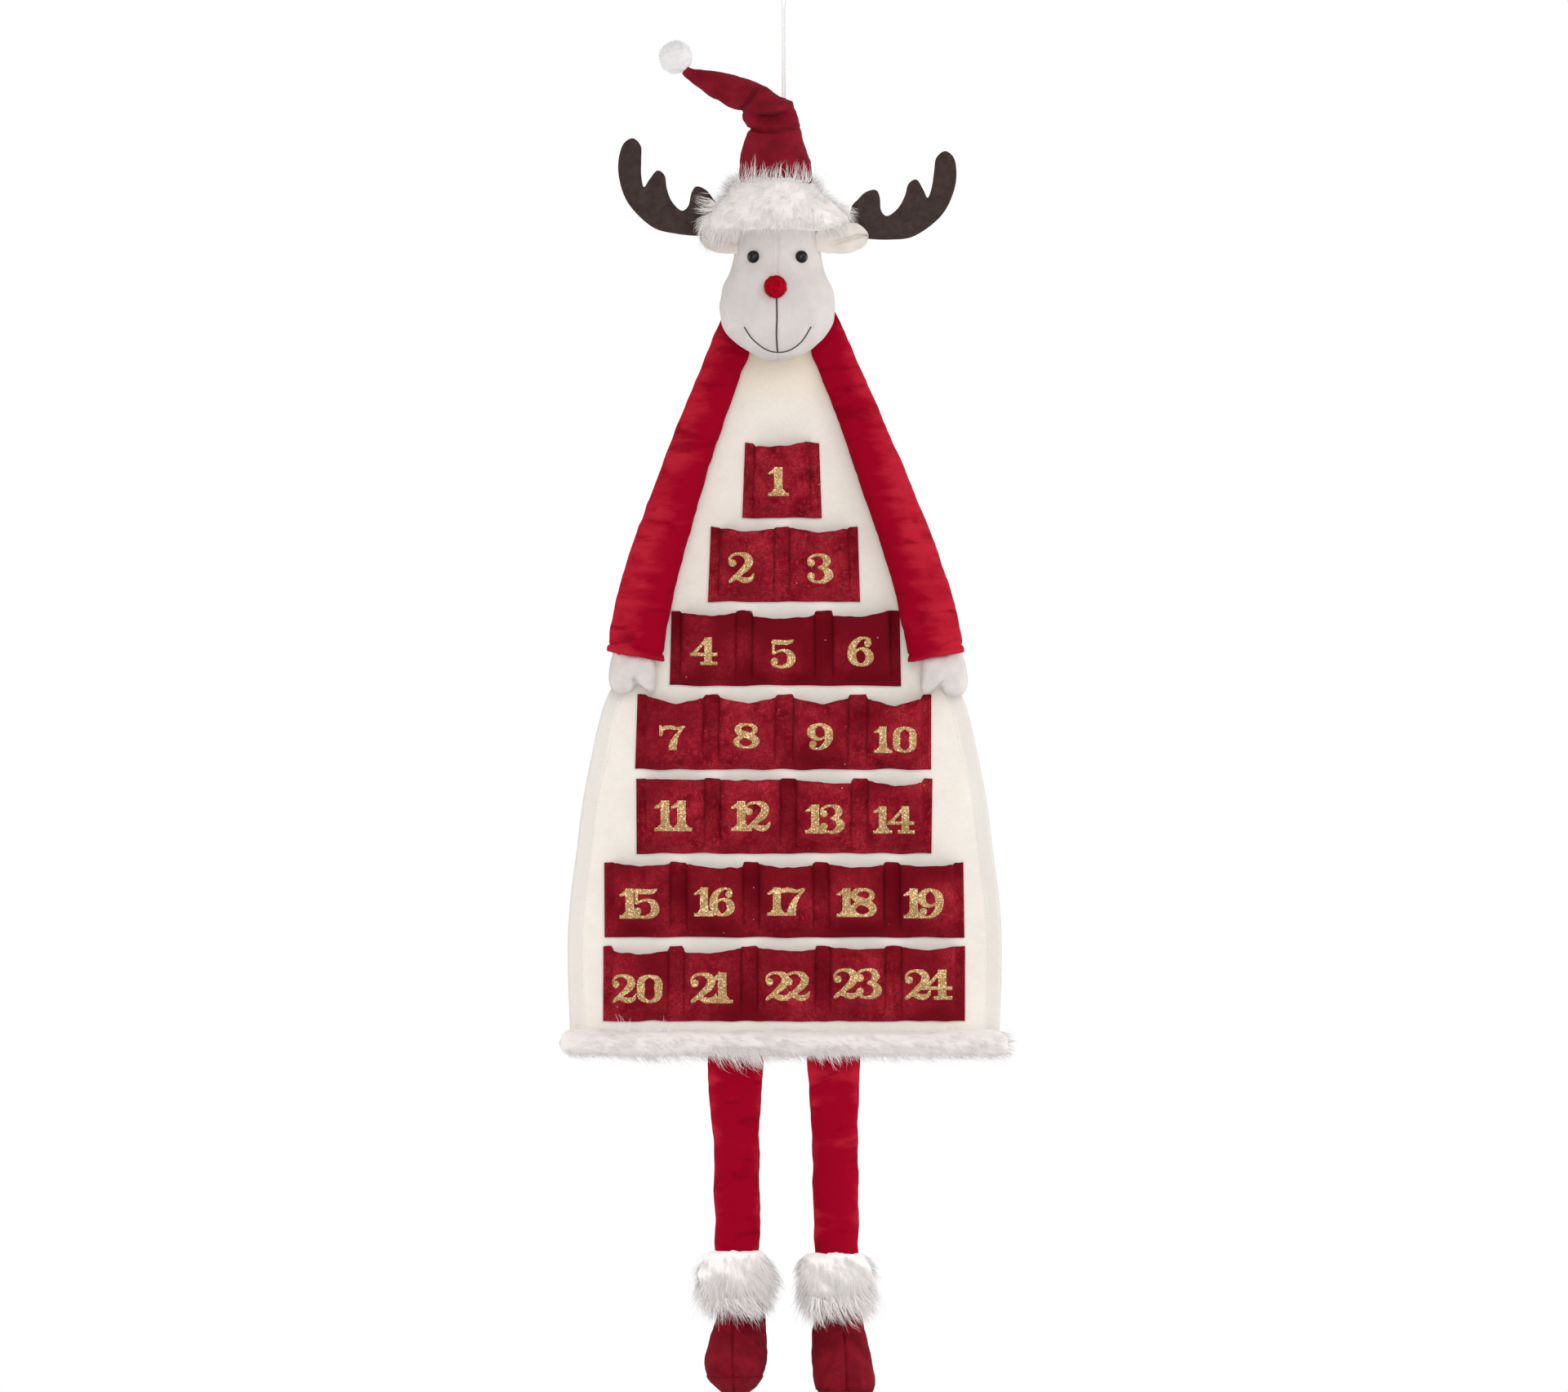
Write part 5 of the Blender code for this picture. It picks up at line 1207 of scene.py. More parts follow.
# for each row, in picture pixels: left end and right end at the top and bottom, the top of its tabs, then
# each tab's middle and width, and for each pocket how far its mouth dips at the left, in the middle and at
# the right
pocketRows = (
    {"top": (912.3, 1003.0), "low": (908.9, 1006.2), "high": 542.3, "tabs": (),
    "dips": ((4.5, 3.6, -0.5),)},
    {"top": (870.5, 1050.3), "low": (866.8, 1053.2), "high": 645.1, "tabs": ((957.5, 17),),
    "dips": ((1.8, 5.2, 3.2), (1.8, 6.4, 3.0))},
    {"top": (822.4, 1101.4), "low": (820.0, 1103.4), "high": 747.9, "tabs": ((911.5, 19), (1008.6, 21)),
    "dips": ((3, 6, 3), (7, 10, 6.4), (6.5, 7, 0.6))},
    {"top": (780.6, 1140.4), "low": (777.6, 1140.2), "high": 850.7, "tabs": ((871.4, 18), (961.0, 21),
    (1050.6, 22)), "dips": ((2.5, 10, 4.5), (4.5, 9.7, 4.5), (5, 10.5, 5), (6, 12.5, 6))},
    {"top": (779.0, 1141.8), "low": (779.4, 1140.6), "high": 953.5, "tabs": ((872.6, 18), (965.5, 18),
    (1053.0, 19)), "dips": ((0.8, 1.2, 2), (2, 2.4, 2), (2, 5.5, 6), (3, 9, 5.5))},
    {"top": (739.8, 1179.6), "low": (740.2, 1181.0), "high": 1056.3, "tabs": ((830.3, 19), (919.6, 18),
    (1005.2, 18), (1092.0, 18)), "dips": ((1.5, 4, 2.5), (2.5, 6.5, 6), (2.5, 6.5, 4), (3, 6, 4),
    (3, 5, 3))},
    {"top": (738.8, 1181.8), "low": (738.4, 1181.6), "high": 1159.1, "tabs": ((828.0, 18), (917.6, 19),
    (1007.8, 17), (1094.2, 19)), "dips": ((7, 9, 6), (8, 8, 3), (2.5, 5.5, 4.5), (1.5, 3.5, 2.5),
    (1.5, 4, 0.6))},
)


def stripKeys(row):
    # x, how far out the felt stands (0 to 1) and how far its top dips, in pixels until the end, along the
    # strip: flat end, wall, bulging front, wall, tab and so on
    left, right = [xAt(x) for x in row["top"]]
    g = pocketSet["gusset"]
    edges = [left + pocketSet["end"]]
    for middle, width in row["tabs"]:
        x, w = xAt(middle), width * pixel * pocketSet["tabShare"]
        edges += [x - w, x + w]
    edges.append(right - pocketSet["end"])
    keys = [(left, 0, 0), (left + 0.003, 0, 0)]
    for k, (a, m, b) in enumerate(row["dips"]):
        start, end = edges[2 * k], edges[2 * k + 1]
        low, high = start + g, end - g
        keys += [(start - 0.0004, 0, 0), (start + 0.0003, 0.05, a * 0.92), (low - 0.0006, 0.66, a * 0.97),
                 (low + 0.001, 0.8, a)]
        for share in np.linspace(0.06, 0.94, 9):
            dip = np.interp(share, (0, 0.5, 1), (a, m, b)) + 0.25 * (m
                    - (a + b) / 2) * math.sin(math.pi * share)
            keys.append((low + share * (high - low), 0.8 + 0.2 * math.sin(math.pi * share) ** 0.6, dip))
        keys += [(high - 0.001, 0.8, b), (high + 0.0006, 0.66, b * 0.97), (end - 0.0003, 0.05, b * 0.92),
                 (end + 0.0004, 0, 0)]
    keys += [(right - 0.003, 0, 0), (right, 0, 0)]
    return np.array(keys) * (1, 1, pixel)


def pocketStrip(number, row):
    # the plan line is read at even steps and its corners rounded; a point's y is the board, less the felt,
    # less depth * out(along) * swell(up), and the inside face is the same sheet moved in by the felt
    keys = stripKeys(row)
    plan = np.column_stack([keys[:, 0], -keys[:, 1] * pocketSet["depth"], keys[:, 2]])
    run = np.r_[0, np.cumsum(np.linalg.norm(np.diff(plan[:, :2], axis=0), axis=1))]
    at = np.linspace(0, run[-1], int(run[-1] / 0.0011) + 1)
    plan = np.stack([np.interp(at, run, c) for c in plan.T], -1)
    for _ in range(2):
        plan[1:-1, :2] = (plan[:-2, :2] + 2 * plan[1:-1, :2] + plan[2:, :2]) / 4
    share = np.r_[0, 0.025, 0.045, 0.06, 0.075, np.linspace(0.1, 1, 25)]
    swell = np.interp(share, *np.array(levelShares).T)
    swell[6:-1] = (swell[5:-2] + 2 * swell[6:-1] + swell[7:]) / 4
    top, low = zAt(row["high"]), zAt(row["high"]) - pocketSet["height"]
    shifts = [(low - top) * pixel for low, top in zip(row["low"], row["top"])]
    lean = np.interp(plan[:, 0], plan[[0, -1], 0], shifts)
    x = plan[None, :, 0] + (1 - share)[:, None] * lean[None]
    z = low + share[:, None] * (top - low - plan[None, :, 2])
    flat = np.stack([x, z], -1)
    out = -plan[None, :, 1] * swell[:, None]
    soft = np.clip(out / pocketSet["depth"], 0, 1)
    out = out * (1 + 0.06 * ripple(flat, 0.03, 80 + number)) + soft * 0.0004 * ripple(flat, 0.011,
            90 + number)
    z = z + 0.0003 * ripple(flat, 0.012, 95 + number) * (share[:, None] > 0.95) + 0.0004 * ripple(flat,
            0.03, 97 + number) * (share[:, None] < 0.05)
    y = boardFront - pocketSet["felt"] - np.maximum(out, 0)
    front = np.stack([x, y, z], -1)
    across, upward = np.gradient(front, axis=1), np.gradient(front, axis=0)
    normal = unit(np.cross(across, upward))
    normal *= np.sign(-normal[..., 1:2].sum()) if abs(normal[..., 1].sum()) > 0 else 1
    back = front - normal * pocketSet["felt"]
    back[..., 1] = np.minimum(back[..., 1], boardFront)
    return front, back, run[-1]


wornRows = (0.9, 0.95, 0.05, 0.75, 0.85, 0.35, 0.45)
strips = []
for number, row in enumerate(pocketRows):
    front, back, length = pocketStrip(number, row)
    points, faces = closedSlab(front, back)
    piece = newPiece(f"pocket_strip_{number + 1}", points, faces, crimsonFelt)
    markPoints(piece, "worn", np.clip(wornRows[number] + 0.35 * ripple(points, 0.06, 110 + number), 0, 1))
    finishPiece(piece, "body", [f"pocket_row_{number + 1}"])
    strips.append((front, row))
print("pocket rows", len(strips))


stripTrees = []
for front, row in strips:
    quads = gridQuads(*front.shape[:2], False)
    stripTrees.append(BVHTree.FromPolygons(front.reshape(-1, 3).tolist(), quads.tolist()))


def onStrip(number, x, z):
    # y of a row's front face at x and z, found by a ray along +y
    hits = [stripTrees[number].ray_cast(Vector((a, -0.1, b)), Vector((0, 1, 0)))[0] for a, b in zip(x, z)]
    return np.array([hit[1] if hit else boardFront - pocketSet["felt"] for hit in hits])


# seams of the rows: along the bottom, down each tab's middle and down the two ends
rowStitches = []
for number, (front, row) in enumerate(strips):
    low = zAt(row["high"]) - pocketSet["height"]
    left, right = front[2, 0, 0], front[2, -1, 0]
    across = np.linspace(left + 0.002, right - 0.002, 400)
    lines = [np.column_stack([across, np.zeros(400), np.full(400, low + 0.003)])]
    upward = np.linspace(low + 0.003, low + pocketSet["height"] - 0.002, 120)
    for x in [left + 0.0032, right - 0.0032] + [xAt(m) for m, _ in row["tabs"]]:
        lines.append(np.column_stack([np.full(120, x), np.zeros(120), upward]))
    for line in lines:
        starts, ends = along(line, 0.0021, 0.0008)
        for end in (starts, ends):
            end[:, 1] = onStrip(number, end[:, 0], end[:, 2])
        rowStitches.append(stitchRow(starts, ends, (0, -1, 0), 0.00026, 0.4))
points, faces = joined(rowStitches)
finishPiece(newPiece("pocket_row_stitches", points, faces, redThread, outward=False), "body")
print("stitches")


# gold numbers: plain slab-serif figures 1 to 24

# each figure stands on 0 and is 1 high: its strokes, bars and width. A stroke is a line of x, y and half
# width, and a bar is x0, y0, x1 and y1.
figures = {
    "0": ([[(0.445, 0.945, 0.05), (0.17, 0.8, 0.115), (0.145, 0.5, 0.145), (0.17, 0.2, 0.115),
    (0.445, 0.055, 0.05), (0.72, 0.2, 0.115), (0.745, 0.5, 0.145), (0.72, 0.8, 0.115),
    (0.445, 0.945, 0.05)]], [], 0.89),
    "1": ([[(0.03, 0.775, 0.035), (0.1, 0.8, 0.055), (0.22, 0.865, 0.075), (0.33, 0.93, 0.07)],
    [(0.2, 0.1, 0.1), (0.34, 0.22, 0.14), (0.34, 0.4, 0.14)], [(0.49, 0.1, 0.1), (0.34, 0.22, 0.14)]],
    [(0.2, 0.0, 0.48, 1.0), (0.0, 0.0, 0.69, 0.12)], 0.69),
    "2": ([[(0.16, 0.645, 0.125)], [(0.05, 0.66, 0.03), (0.07, 0.8, 0.045), (0.2, 0.92, 0.05),
    (0.4, 0.945, 0.055), (0.6, 0.88, 0.105), (0.7, 0.72, 0.135), (0.62, 0.53, 0.125), (0.45, 0.37, 0.1),
    (0.25, 0.2, 0.075), (0.08, 0.055, 0.055)], [(0.07, 0.055, 0.05), (0.18, 0.15, 0.07),
    (0.32, 0.175, 0.075), (0.48, 0.11, 0.095), (0.65, 0.095, 0.095), (0.79, 0.17, 0.065),
    (0.845, 0.3, 0.03)]], [], 0.88),
    "3": ([[(0.16, 0.685, 0.125)], [(0.06, 0.7, 0.03), (0.09, 0.83, 0.045), (0.23, 0.93, 0.05),
    (0.42, 0.95, 0.05), (0.6, 0.89, 0.095), (0.67, 0.74, 0.125), (0.58, 0.59, 0.085),
    (0.42, 0.525, 0.045)], [(0.42, 0.525, 0.045), (0.6, 0.48, 0.09), (0.73, 0.29, 0.145),
    (0.6, 0.11, 0.1), (0.4, 0.05, 0.05), (0.19, 0.09, 0.05), (0.06, 0.24, 0.035)], [(0.16, 0.25, 0.125)]],
    [], 0.88),
    "4": ([[(0.6, 0.93, 0.07), (0.4, 0.72, 0.06), (0.2, 0.5, 0.06), (0.06, 0.38, 0.055)]],
    [(0.5, 0.0, 0.78, 1.0), (0.0, 0.32, 0.97, 0.445), (0.36, 0.0, 0.97, 0.125)], 0.97),
    "5": ([[(0.17, 0.24, 0.125)], [(0.06, 0.26, 0.03), (0.12, 0.11, 0.045), (0.3, 0.05, 0.05),
    (0.5, 0.06, 0.065), (0.68, 0.15, 0.115), (0.745, 0.33, 0.145), (0.67, 0.52, 0.11), (0.5, 0.61, 0.055),
    (0.32, 0.59, 0.045), (0.16, 0.51, 0.04)], [(0.15, 0.9, 0.095), (0.4, 0.89, 0.085), (0.6, 0.89, 0.085),
    (0.74, 0.93, 0.06), (0.81, 0.975, 0.02)]], [(0.08, 0.47, 0.185, 0.99)], 0.89),
    "6": ([[(0.68, 0.765, 0.12)], [(0.775, 0.8, 0.03), (0.72, 0.91, 0.045), (0.53, 0.955, 0.045),
    (0.35, 0.88, 0.085), (0.2, 0.7, 0.12), (0.155, 0.45, 0.145), (0.21, 0.2, 0.125), (0.44, 0.055, 0.055),
    (0.66, 0.14, 0.105), (0.745, 0.32, 0.14), (0.66, 0.51, 0.105), (0.46, 0.59, 0.05),
    (0.29, 0.52, 0.045)]], [], 0.89),
    "7": ([[(0.065, 0.965, 0.035), (0.085, 0.83, 0.065), (0.1, 0.7, 0.075), (0.075, 0.6, 0.05)],
    [(0.1, 0.83, 0.07), (0.3, 0.9, 0.085), (0.5, 0.9, 0.085), (0.72, 0.86, 0.06), (0.96, 0.93, 0.05)],
    [(0.97, 0.93, 0.045), (0.8, 0.72, 0.06), (0.65, 0.5, 0.1), (0.57, 0.28, 0.145), (0.54, 0.16, 0.155)]],
    [(0.385, 0.0, 0.695, 0.16)], 1.05),
    "8": ([[(0.5, 0.95, 0.05), (0.28, 0.9, 0.09), (0.17, 0.755, 0.115), (0.28, 0.62, 0.12),
    (0.5, 0.53, 0.13), (0.72, 0.43, 0.13), (0.83, 0.27, 0.13), (0.72, 0.11, 0.09), (0.48, 0.05, 0.05),
    (0.24, 0.11, 0.08), (0.125, 0.26, 0.11), (0.24, 0.42, 0.09), (0.48, 0.52, 0.06), (0.7, 0.61, 0.08),
    (0.8, 0.755, 0.095), (0.7, 0.9, 0.07), (0.5, 0.95, 0.05)]], [], 0.97),
}
figures["9"] = ([[(0.89 - x, 1 - y, r) for x, y, r in stroke] for stroke in figures["6"][0]], [], 0.89)

# middle x, middle y, width and height of each number in picture pixels
numberPlaces = {
    1: (953.2, 589.8, 26, 35.8), 2: (907.4, 695.4, 33, 38.0), 3: (1004, 696.5, 33.5, 36.7),
    4: (861.6, 797.6, 33.5, 34.2), 5: (958.3, 800.7, 32, 35.4), 6: (1053.7, 798.1, 33, 36.8),
    7: (823.2, 903.5, 33.4, 31.0), 8: (913.9, 901.4, 33.3, 31.4), 9: (1004.2, 902.3, 33, 33.2),
    10: (1096.1, 906, 52.4, 32.8), 11: (824.5, 999.3, 46.4, 38.0), 12: (919.4, 999.6, 48.8, 37.2),
    13: (1010.3, 1003.2, 48.8, 35.8), 14: (1094.4, 1004.2, 50.7, 33.9), 15: (783, 1106.7, 49.1, 37.2),
    16: (874.9, 1104.8, 50.2, 35.9), 17: (963.2, 1104.3, 47.8, 35.0), 18: (1049.2, 1105.6, 49.7, 35.8),
    19: (1131.1, 1106.6, 49.8, 37.0), 20: (779.8, 1211, 62.8, 35.5), 21: (871.1, 1210.1, 52.8, 37.8),
    22: (964.4, 1207.8, 55.6, 36.3), 23: (1050, 1204.8, 60.7, 37.6), 24: (1136.6, 1206, 58.9, 37.4),
}
numberRows = (1, 2, 3, 4, 4, 5, 5)


def figureDistance(x, y, figure):
    # distance to the figure's edge, below 0 inside: the nearest of its round-ended tapering strokes and
    # its bars
    strokes, bars, _ = figure
    best = np.full(x.shape, farAway)
    for stroke in strokes:
        s = np.array(stroke, float)
        if len(s) == 1:
            best = np.minimum(best, np.hypot(x - s[0, 0], y - s[0, 1]) - s[0, 2])
            continue
        s = through(s, 10 * len(s)) if len(s) > 2 else s
        for a, b in zip(s[:-1], s[1:]):
            d = b[:2] - a[:2]
            t = np.clip(((x - a[0]) * d[0] + (y - a[1]) * d[1]) / max(d @ d, 1e-9), 0, 1)
            away = np.hypot(x - a[0] - t * d[0], y - a[1] - t * d[1])
            best = np.minimum(best, away - (a[2] + t * (b[2] - a[2])))
    for x0, y0, x1, y1 in bars:
        dx, dy = np.abs(x - (x0 + x1) / 2) - (x1 - x0) / 2, np.abs(y - (y0 + y1) / 2) - (y1 - y0) / 2
        best = np.minimum(best, np.hypot(np.maximum(dx, 0), np.maximum(dy, 0)) + np.minimum(np.maximum(dx,
                dy), 0))
    return best


def numberMesh(number, row, cell=0.00045, thick=0.00035):
    # cells of a fine grid whose middle is inside the number are kept, and the points on their rim are moved
    # down the slope of the distance onto the edge itself; the plate follows the pocket's front
    cx, cy, wide, high = numberPlaces[number]
    centre, size = spot((cx, cy)), high * pixel
    text = str(number)
    total = wide / high
    offsets = [0.0] if len(text) == 1 else [0.0, total - figures[text[1]][2]]
    squeeze = total / figures[text][2] if len(text) == 1 else 1.0
    margin = 3 * cell
    xs = np.arange(-total * size / 2 - margin, total * size / 2 + margin, cell)
    zs = np.arange(-size / 2 - margin, size / 2 + margin, cell)
    gx, gz = np.meshgrid(xs, zs)

    def edge(atX, atZ):
        u, v = (atX / size + total / 2) / squeeze, atZ / size + 0.5
        return np.min([figureDistance(u - o, v, figures[c]) for o, c in zip(offsets, text)], 0) * size

    far = edge(gx, gz)
    keep = (far[:-1, :-1] + far[1:, :-1] + far[:-1, 1:] + far[1:, 1:]) < 0
    rows, cols = keep.shape
    base = (np.arange(rows)[:, None] * (cols + 1) + np.arange(cols)[None])[keep]
    quads = np.stack([base, base + 1, base + cols + 2, base + cols + 1], -1)
    pairs = np.concatenate([quads[:, [0, 1]], quads[:, [1, 2]], quads[:, [2, 3]], quads[:, [3, 0]]])
    big = gx.size
    codes, back = pairs[:, 0] * big + pairs[:, 1], pairs[:, 1] * big + pairs[:, 0]
    rim = pairs[~np.isin(codes, back)]
    fx, fz = gx.ravel().copy(), gz.ravel().copy()
    edgePoints = np.unique(rim)
    for _ in range(2):
        ex, ez, h = fx[edgePoints], fz[edgePoints], cell * 0.2
        here = edge(ex, ez)
        sx, sz = (edge(ex + h, ez) - edge(ex - h, ez)) / (2 * h), (edge(ex, ez + h) - edge(ex,
                ez - h)) / (2 * h)
        steep = np.maximum(sx ** 2 + sz ** 2, 0.25)
        fx[edgePoints] -= np.clip(here * sx / steep, -cell, cell)
        fz[edgePoints] -= np.clip(here * sz / steep, -cell, cell)
    used = np.unique(quads)
    index = np.full(big, -1)
    index[used] = np.arange(len(used))
    x, z = fx[used] + centre[0], fz[used] + centre[1]
    y = onStrip(row, x, z)
    inner = ~np.isin(used, edgePoints)
    top = np.column_stack([x, y - thick * (0.45 + 0.55 * inner), z])
    low = np.column_stack([x, y + 0.0003, z])
    q, r = index[quads], index[rim]
    count = len(used)
    walls = np.stack([r[:, 1], r[:, 0], count + r[:, 0], count + r[:, 1]], -1)
    return np.vstack([top, low]), [np.concatenate([q, count + q[:, ::-1], walls])]


number = 1
for row, count in enumerate(numberRows):
    plates = []
    for _ in range(count):
        plates.append(numberMesh(number, row))
        number += 1
    points, faces = joined(plates)
    piece = newPiece(f"gold_numbers_{row + 1}", points, faces, goldFlakes)
    finishPiece(piece, "body")
print("numbers", number - 1)


# fur

def scatter(piece, count, seed, keep=None):
    # places spread evenly over a skin: triangles are drawn by their area and a point is taken inside each
    p, n = readPoints(piece), readNormals(piece)
    piece.data.calc_loop_triangles()
    tri = np.zeros(len(piece.data.loop_triangles) * 3, np.int64)
    piece.data.loop_triangles.foreach_get("vertices", tri)
    tri = tri.reshape(-1, 3)
    if keep is not None:
        tri = tri[keep(p[tri].mean(1), unit(n[tri].mean(1)))]
    size = np.linalg.norm(np.cross(p[tri[:, 1]] - p[tri[:, 0]], p[tri[:, 2]] - p[tri[:, 0]]), axis=1)
    dice = np.random.default_rng(seed)
    pick = tri[np.searchsorted(np.cumsum(size) / size.sum(), dice.random(count))]
    a, b = np.sqrt(dice.random(count)), dice.random(count)
    w = np.stack([1 - a, a * (1 - b), a * b], -1)[..., None]
    return (p[pick] * w).sum(1), unit((n[pick] * w).sum(1)), dice


def strands(roots, tips, bend, width, lay, dice):
    # a hair is a thin three-sided spike along root + (tip - root) s + bend * 4 s (1 - s), its half width
    # width / 2 * (1 - s)^0.7, lying flat on the skin; it is shaded mostly as the skin under it, as dense
    # fur is, and at the sides of the piece turned towards its front or back, as loose hairs there catch
    # light from both
    s = np.array([0.0, 0.38, 0.74])
    count = len(roots)
    middle = roots[:, None] + (tips - roots)[:, None] * s[None, :, None]
    middle = middle + bend[:, None] * (4 * s * (1 - s))[None, :, None]
    ahead = unit(tips - roots)
    side = unit(np.cross(ahead, lay + dice.normal(size=(count, 3)) * 0.15))
    third = np.cross(side, ahead)
    turn = np.radians((90, 210, 330))
    ring = np.cos(turn)[None, :, None] * side[:, None]
    ring = ring + 0.5 * np.sin(turn)[None, :, None] * third[:, None]
    radius = (width[:, None] / 2) * ((1 - s) ** 0.7)[None]
    grid = middle[:, :, None] + radius[..., None, None] * ring[:, None]
    points = np.concatenate([grid.reshape(count, 9, 3), tips[:, None]], 1)
    lay = unit(lay * (1.0, 2.0, 0.8))
    lean = unit(lay[:, None] * 0.85 + ring * 0.22 + third[:, None] * 0.16)
    normals = np.concatenate([np.tile(lean, (1, 3, 1)), unit(lay * 0.85 + third * 0.16)[:, None]], 1)
    first = (np.arange(count) * 10)[:, None, None]
    quads = gridQuads(3, 3, True)[None] + first
    caps = np.array([(6, 7, 9), (7, 8, 9), (8, 6, 9), (2, 1, 0)])[None] + first
    faces = [quads.reshape(-1, 4)[:, ::-1], caps.reshape(-1, 3)[:, ::-1]]
    return points.reshape(-1, 3), faces, normals.reshape(-1, 3)


def growFur(base, name, look):
    # hairs leave the skin along lift * normal + the comb's direction, gather into locks whose tips draw
    # together, and the skin itself becomes the ground under them; `tufts` are locks given one by one. A look
    # without a comb has hairs that stand up.
    roots, normals, dice = scatter(base, look["count"], look["seed"], look.get("keep"))
    comb = look["comb"](roots, normals) if "comb" in look else 0.0
    way = unit(normals * look["lift"] + comb + dice.normal(size=roots.shape) * look["stray"])
    length = look["length"](roots) * dice.uniform(0.65, 1.1, len(roots))
    length = length * np.where(dice.random(len(roots)) < 0.06, 1.6, 1.0)
    tips = roots + way * length[:, None]
    centres = dice.choice(len(roots), look["locks"], replace=False)
    nearest = np.empty(len(roots), int)
    for part in np.array_split(np.arange(len(roots)), 24):
        nearest[part] = np.argmin(((roots[part][:, None] - roots[centres][None]) ** 2).sum(-1), 1)
    gather = look["gather"] * dice.uniform(0.6, 1.0, len(roots))
    tips = tips + (tips[centres][nearest] - tips) * gather[:, None]
    bend = unit(normals) * (length * look["arch"])[:, None]
    bend = bend + dice.normal(size=roots.shape) * (length * 0.06)[:, None]
    for x0, y0, x1, y1, near, far, hairs, spread in look.get("tufts", ()):
        jitter = dice.normal(size=(hairs, 2)) * spread * pixel
        aside, rise = jitter.T
        start = np.column_stack([xAt(x0) + aside * 0.7, np.full(hairs, near), zAt(y0) + rise * 0.4])
        height = zAt(y1) + dice.normal(size=hairs) * spread * pixel
        stop = np.column_stack([xAt(x1) + aside, far + rise * 0.3, height])
        size = np.linalg.norm(stop - start, axis=1)
        across = np.column_stack([start[:, 2] - stop[:, 2], 0 * size, stop[:, 0] - start[:, 0]])
        under = [np.argmin(((roots[:look["count"]] - r) ** 2).sum(1)) for r in start]
        normals = np.vstack([normals, unit(normals[under] * 0.35 + (0, -0.85, 0))])
        roots, tips = np.vstack([roots, start]), np.vstack([tips, stop])
        swing = dice.normal(size=(hairs, 1)) * 0.14 - look.get("sag", 0.0)
        bend = np.vstack([bend, across * swing - np.outer(size * 0.05, (0, 1, 0))])
    width = look["width"] * dice.uniform(0.7, 1.2, len(roots))
    width[look["count"]:] *= 1.35
    tone = np.clip(dice.normal(look.get("tone", 0.52), 0.24, len(roots)), 0, 1)
    # the tufts' hairs are set paler, which is painted light on loose locks that hang in shade
    tone[look["count"]:] = 0.5 + tone[look["count"]:] / 2
    tone = np.repeat(tone, 10)
    points, faces, shade = strands(roots - normals * 0.0006, tips, bend, width, normals, dice)
    if "hold" in look:
        points = look["hold"](points)
    rings = [np.array([f.vertices for f in base.data.polygons if len(f.vertices) == k],
                      np.int64) for k in (4, 3)]
    ground, skinShade = readPoints(base), readNormals(base)
    points, faces = joined([(ground, rings), (points, faces)])
    material = base.data.materials[0]
    bpy.data.objects.remove(base)
    piece = newPiece(name, points, faces, material, outward=False, normals=np.vstack([skinShade, shade]))
    markPoints(piece, "tone", np.r_[np.full(len(ground), look.get("tone", 0.7)), tone])
    return piece


def nearBoard(limit):
    # keeps hairs on the near side of the wall: the last 0.8 mm before the limit squeeze what would pass it
    def hold(points):
        over = np.maximum(points[:, 1] - limit + 0.0008, 0)
        points[:, 1] -= over - 0.0008 * (1 - np.exp(-over / 0.0008))
        return points
    return hold


# the brim: wide over the ears, pushed down further on the left; left x, right x and y in picture pixels,
# and the shares of its half depth that it reaches to the front and to the back
brimRows = (
    (914, 987, 218), (906, 993, 221), (896, 1001, 229), (886, 1012, 240), (876, 1026, 250),
    (868, 1039, 262), (866, 1040, 272), (872, 1031, 280), (888, 1012, 284.5),
)
brimDeep = ((0.66, 0.72, 0.8, 0.88, 0.94, 0.985, 0.985, 0.95, 0.88),
            (0.96, 0.98, 0.985, 0.985, 0.985, 0.985, 0.985, 0.98, 0.96))
brimShape = {"depth": 0.0795, "front": 0.0385, "back": 0.0395}
brimMiddle = (boardBack - brimShape["depth"]) / 2
front = brimMiddle - np.array(brimDeep[0]) * brimShape["front"]
back = brimMiddle + np.array(brimDeep[1]) * brimShape["back"]
grid = edgeRings(levelRows(brimRows), front, back, 46, 96)
points, faces = closedTube(grid, grid[0].mean(0), grid[-1].mean(0))
base = newPiece("brim_ground", points, faces, whiteFur)
p, n = readPoints(base), readNormals(base)
move = 0.0009 * ripple(p, 0.022, 101) + 0.0004 * ripple(p * (1, 1, 0.35), 0.006, 100) - 0.0012
move = move * eased(boardBack - p[:, 1], 0.002, 0.01)
p = p + n * move[:, None]
corner = eased(p[:, 0], xAt(904), xAt(876)) * eased(p[:, 2], zAt(246), zAt(276))
p += corner[:, None] * (-0.003, 0, -0.01)              # the fur hangs lower over the left ear
p[:, 1] = np.minimum(p[:, 1], boardBack - 0.0002)
movePoints(base, p)


def brimComb(at, normal):
    # upwards at the top, sideways and down at the sides, down at the bottom edge, always along the skin
    up = (at[:, 2] + 0.197) / 0.026
    out = unit(np.column_stack([at[:, 0] - headShape["shift"], at[:, 1] - brimMiddle, np.zeros(len(at))]))
    rise = np.clip(up, -1.2, 1.3) * 0.8 - 0.15
    lay = out * 0.35 + np.column_stack([0.25 * ripple(at, 0.03, 102), np.zeros(len(at)), rise])
    return lay * 1.1


def brimKeep(at, normal):
    inHead = (np.abs(at[:, 0] - headShape["shift"]) < 0.036) & (normal[:, 2] < -0.75)
    inHat = (np.abs(at[:, 0] - headShape["shift"]) < 0.028) & (normal[:, 2] > 0.75)
    return ~(inHead | inHat)


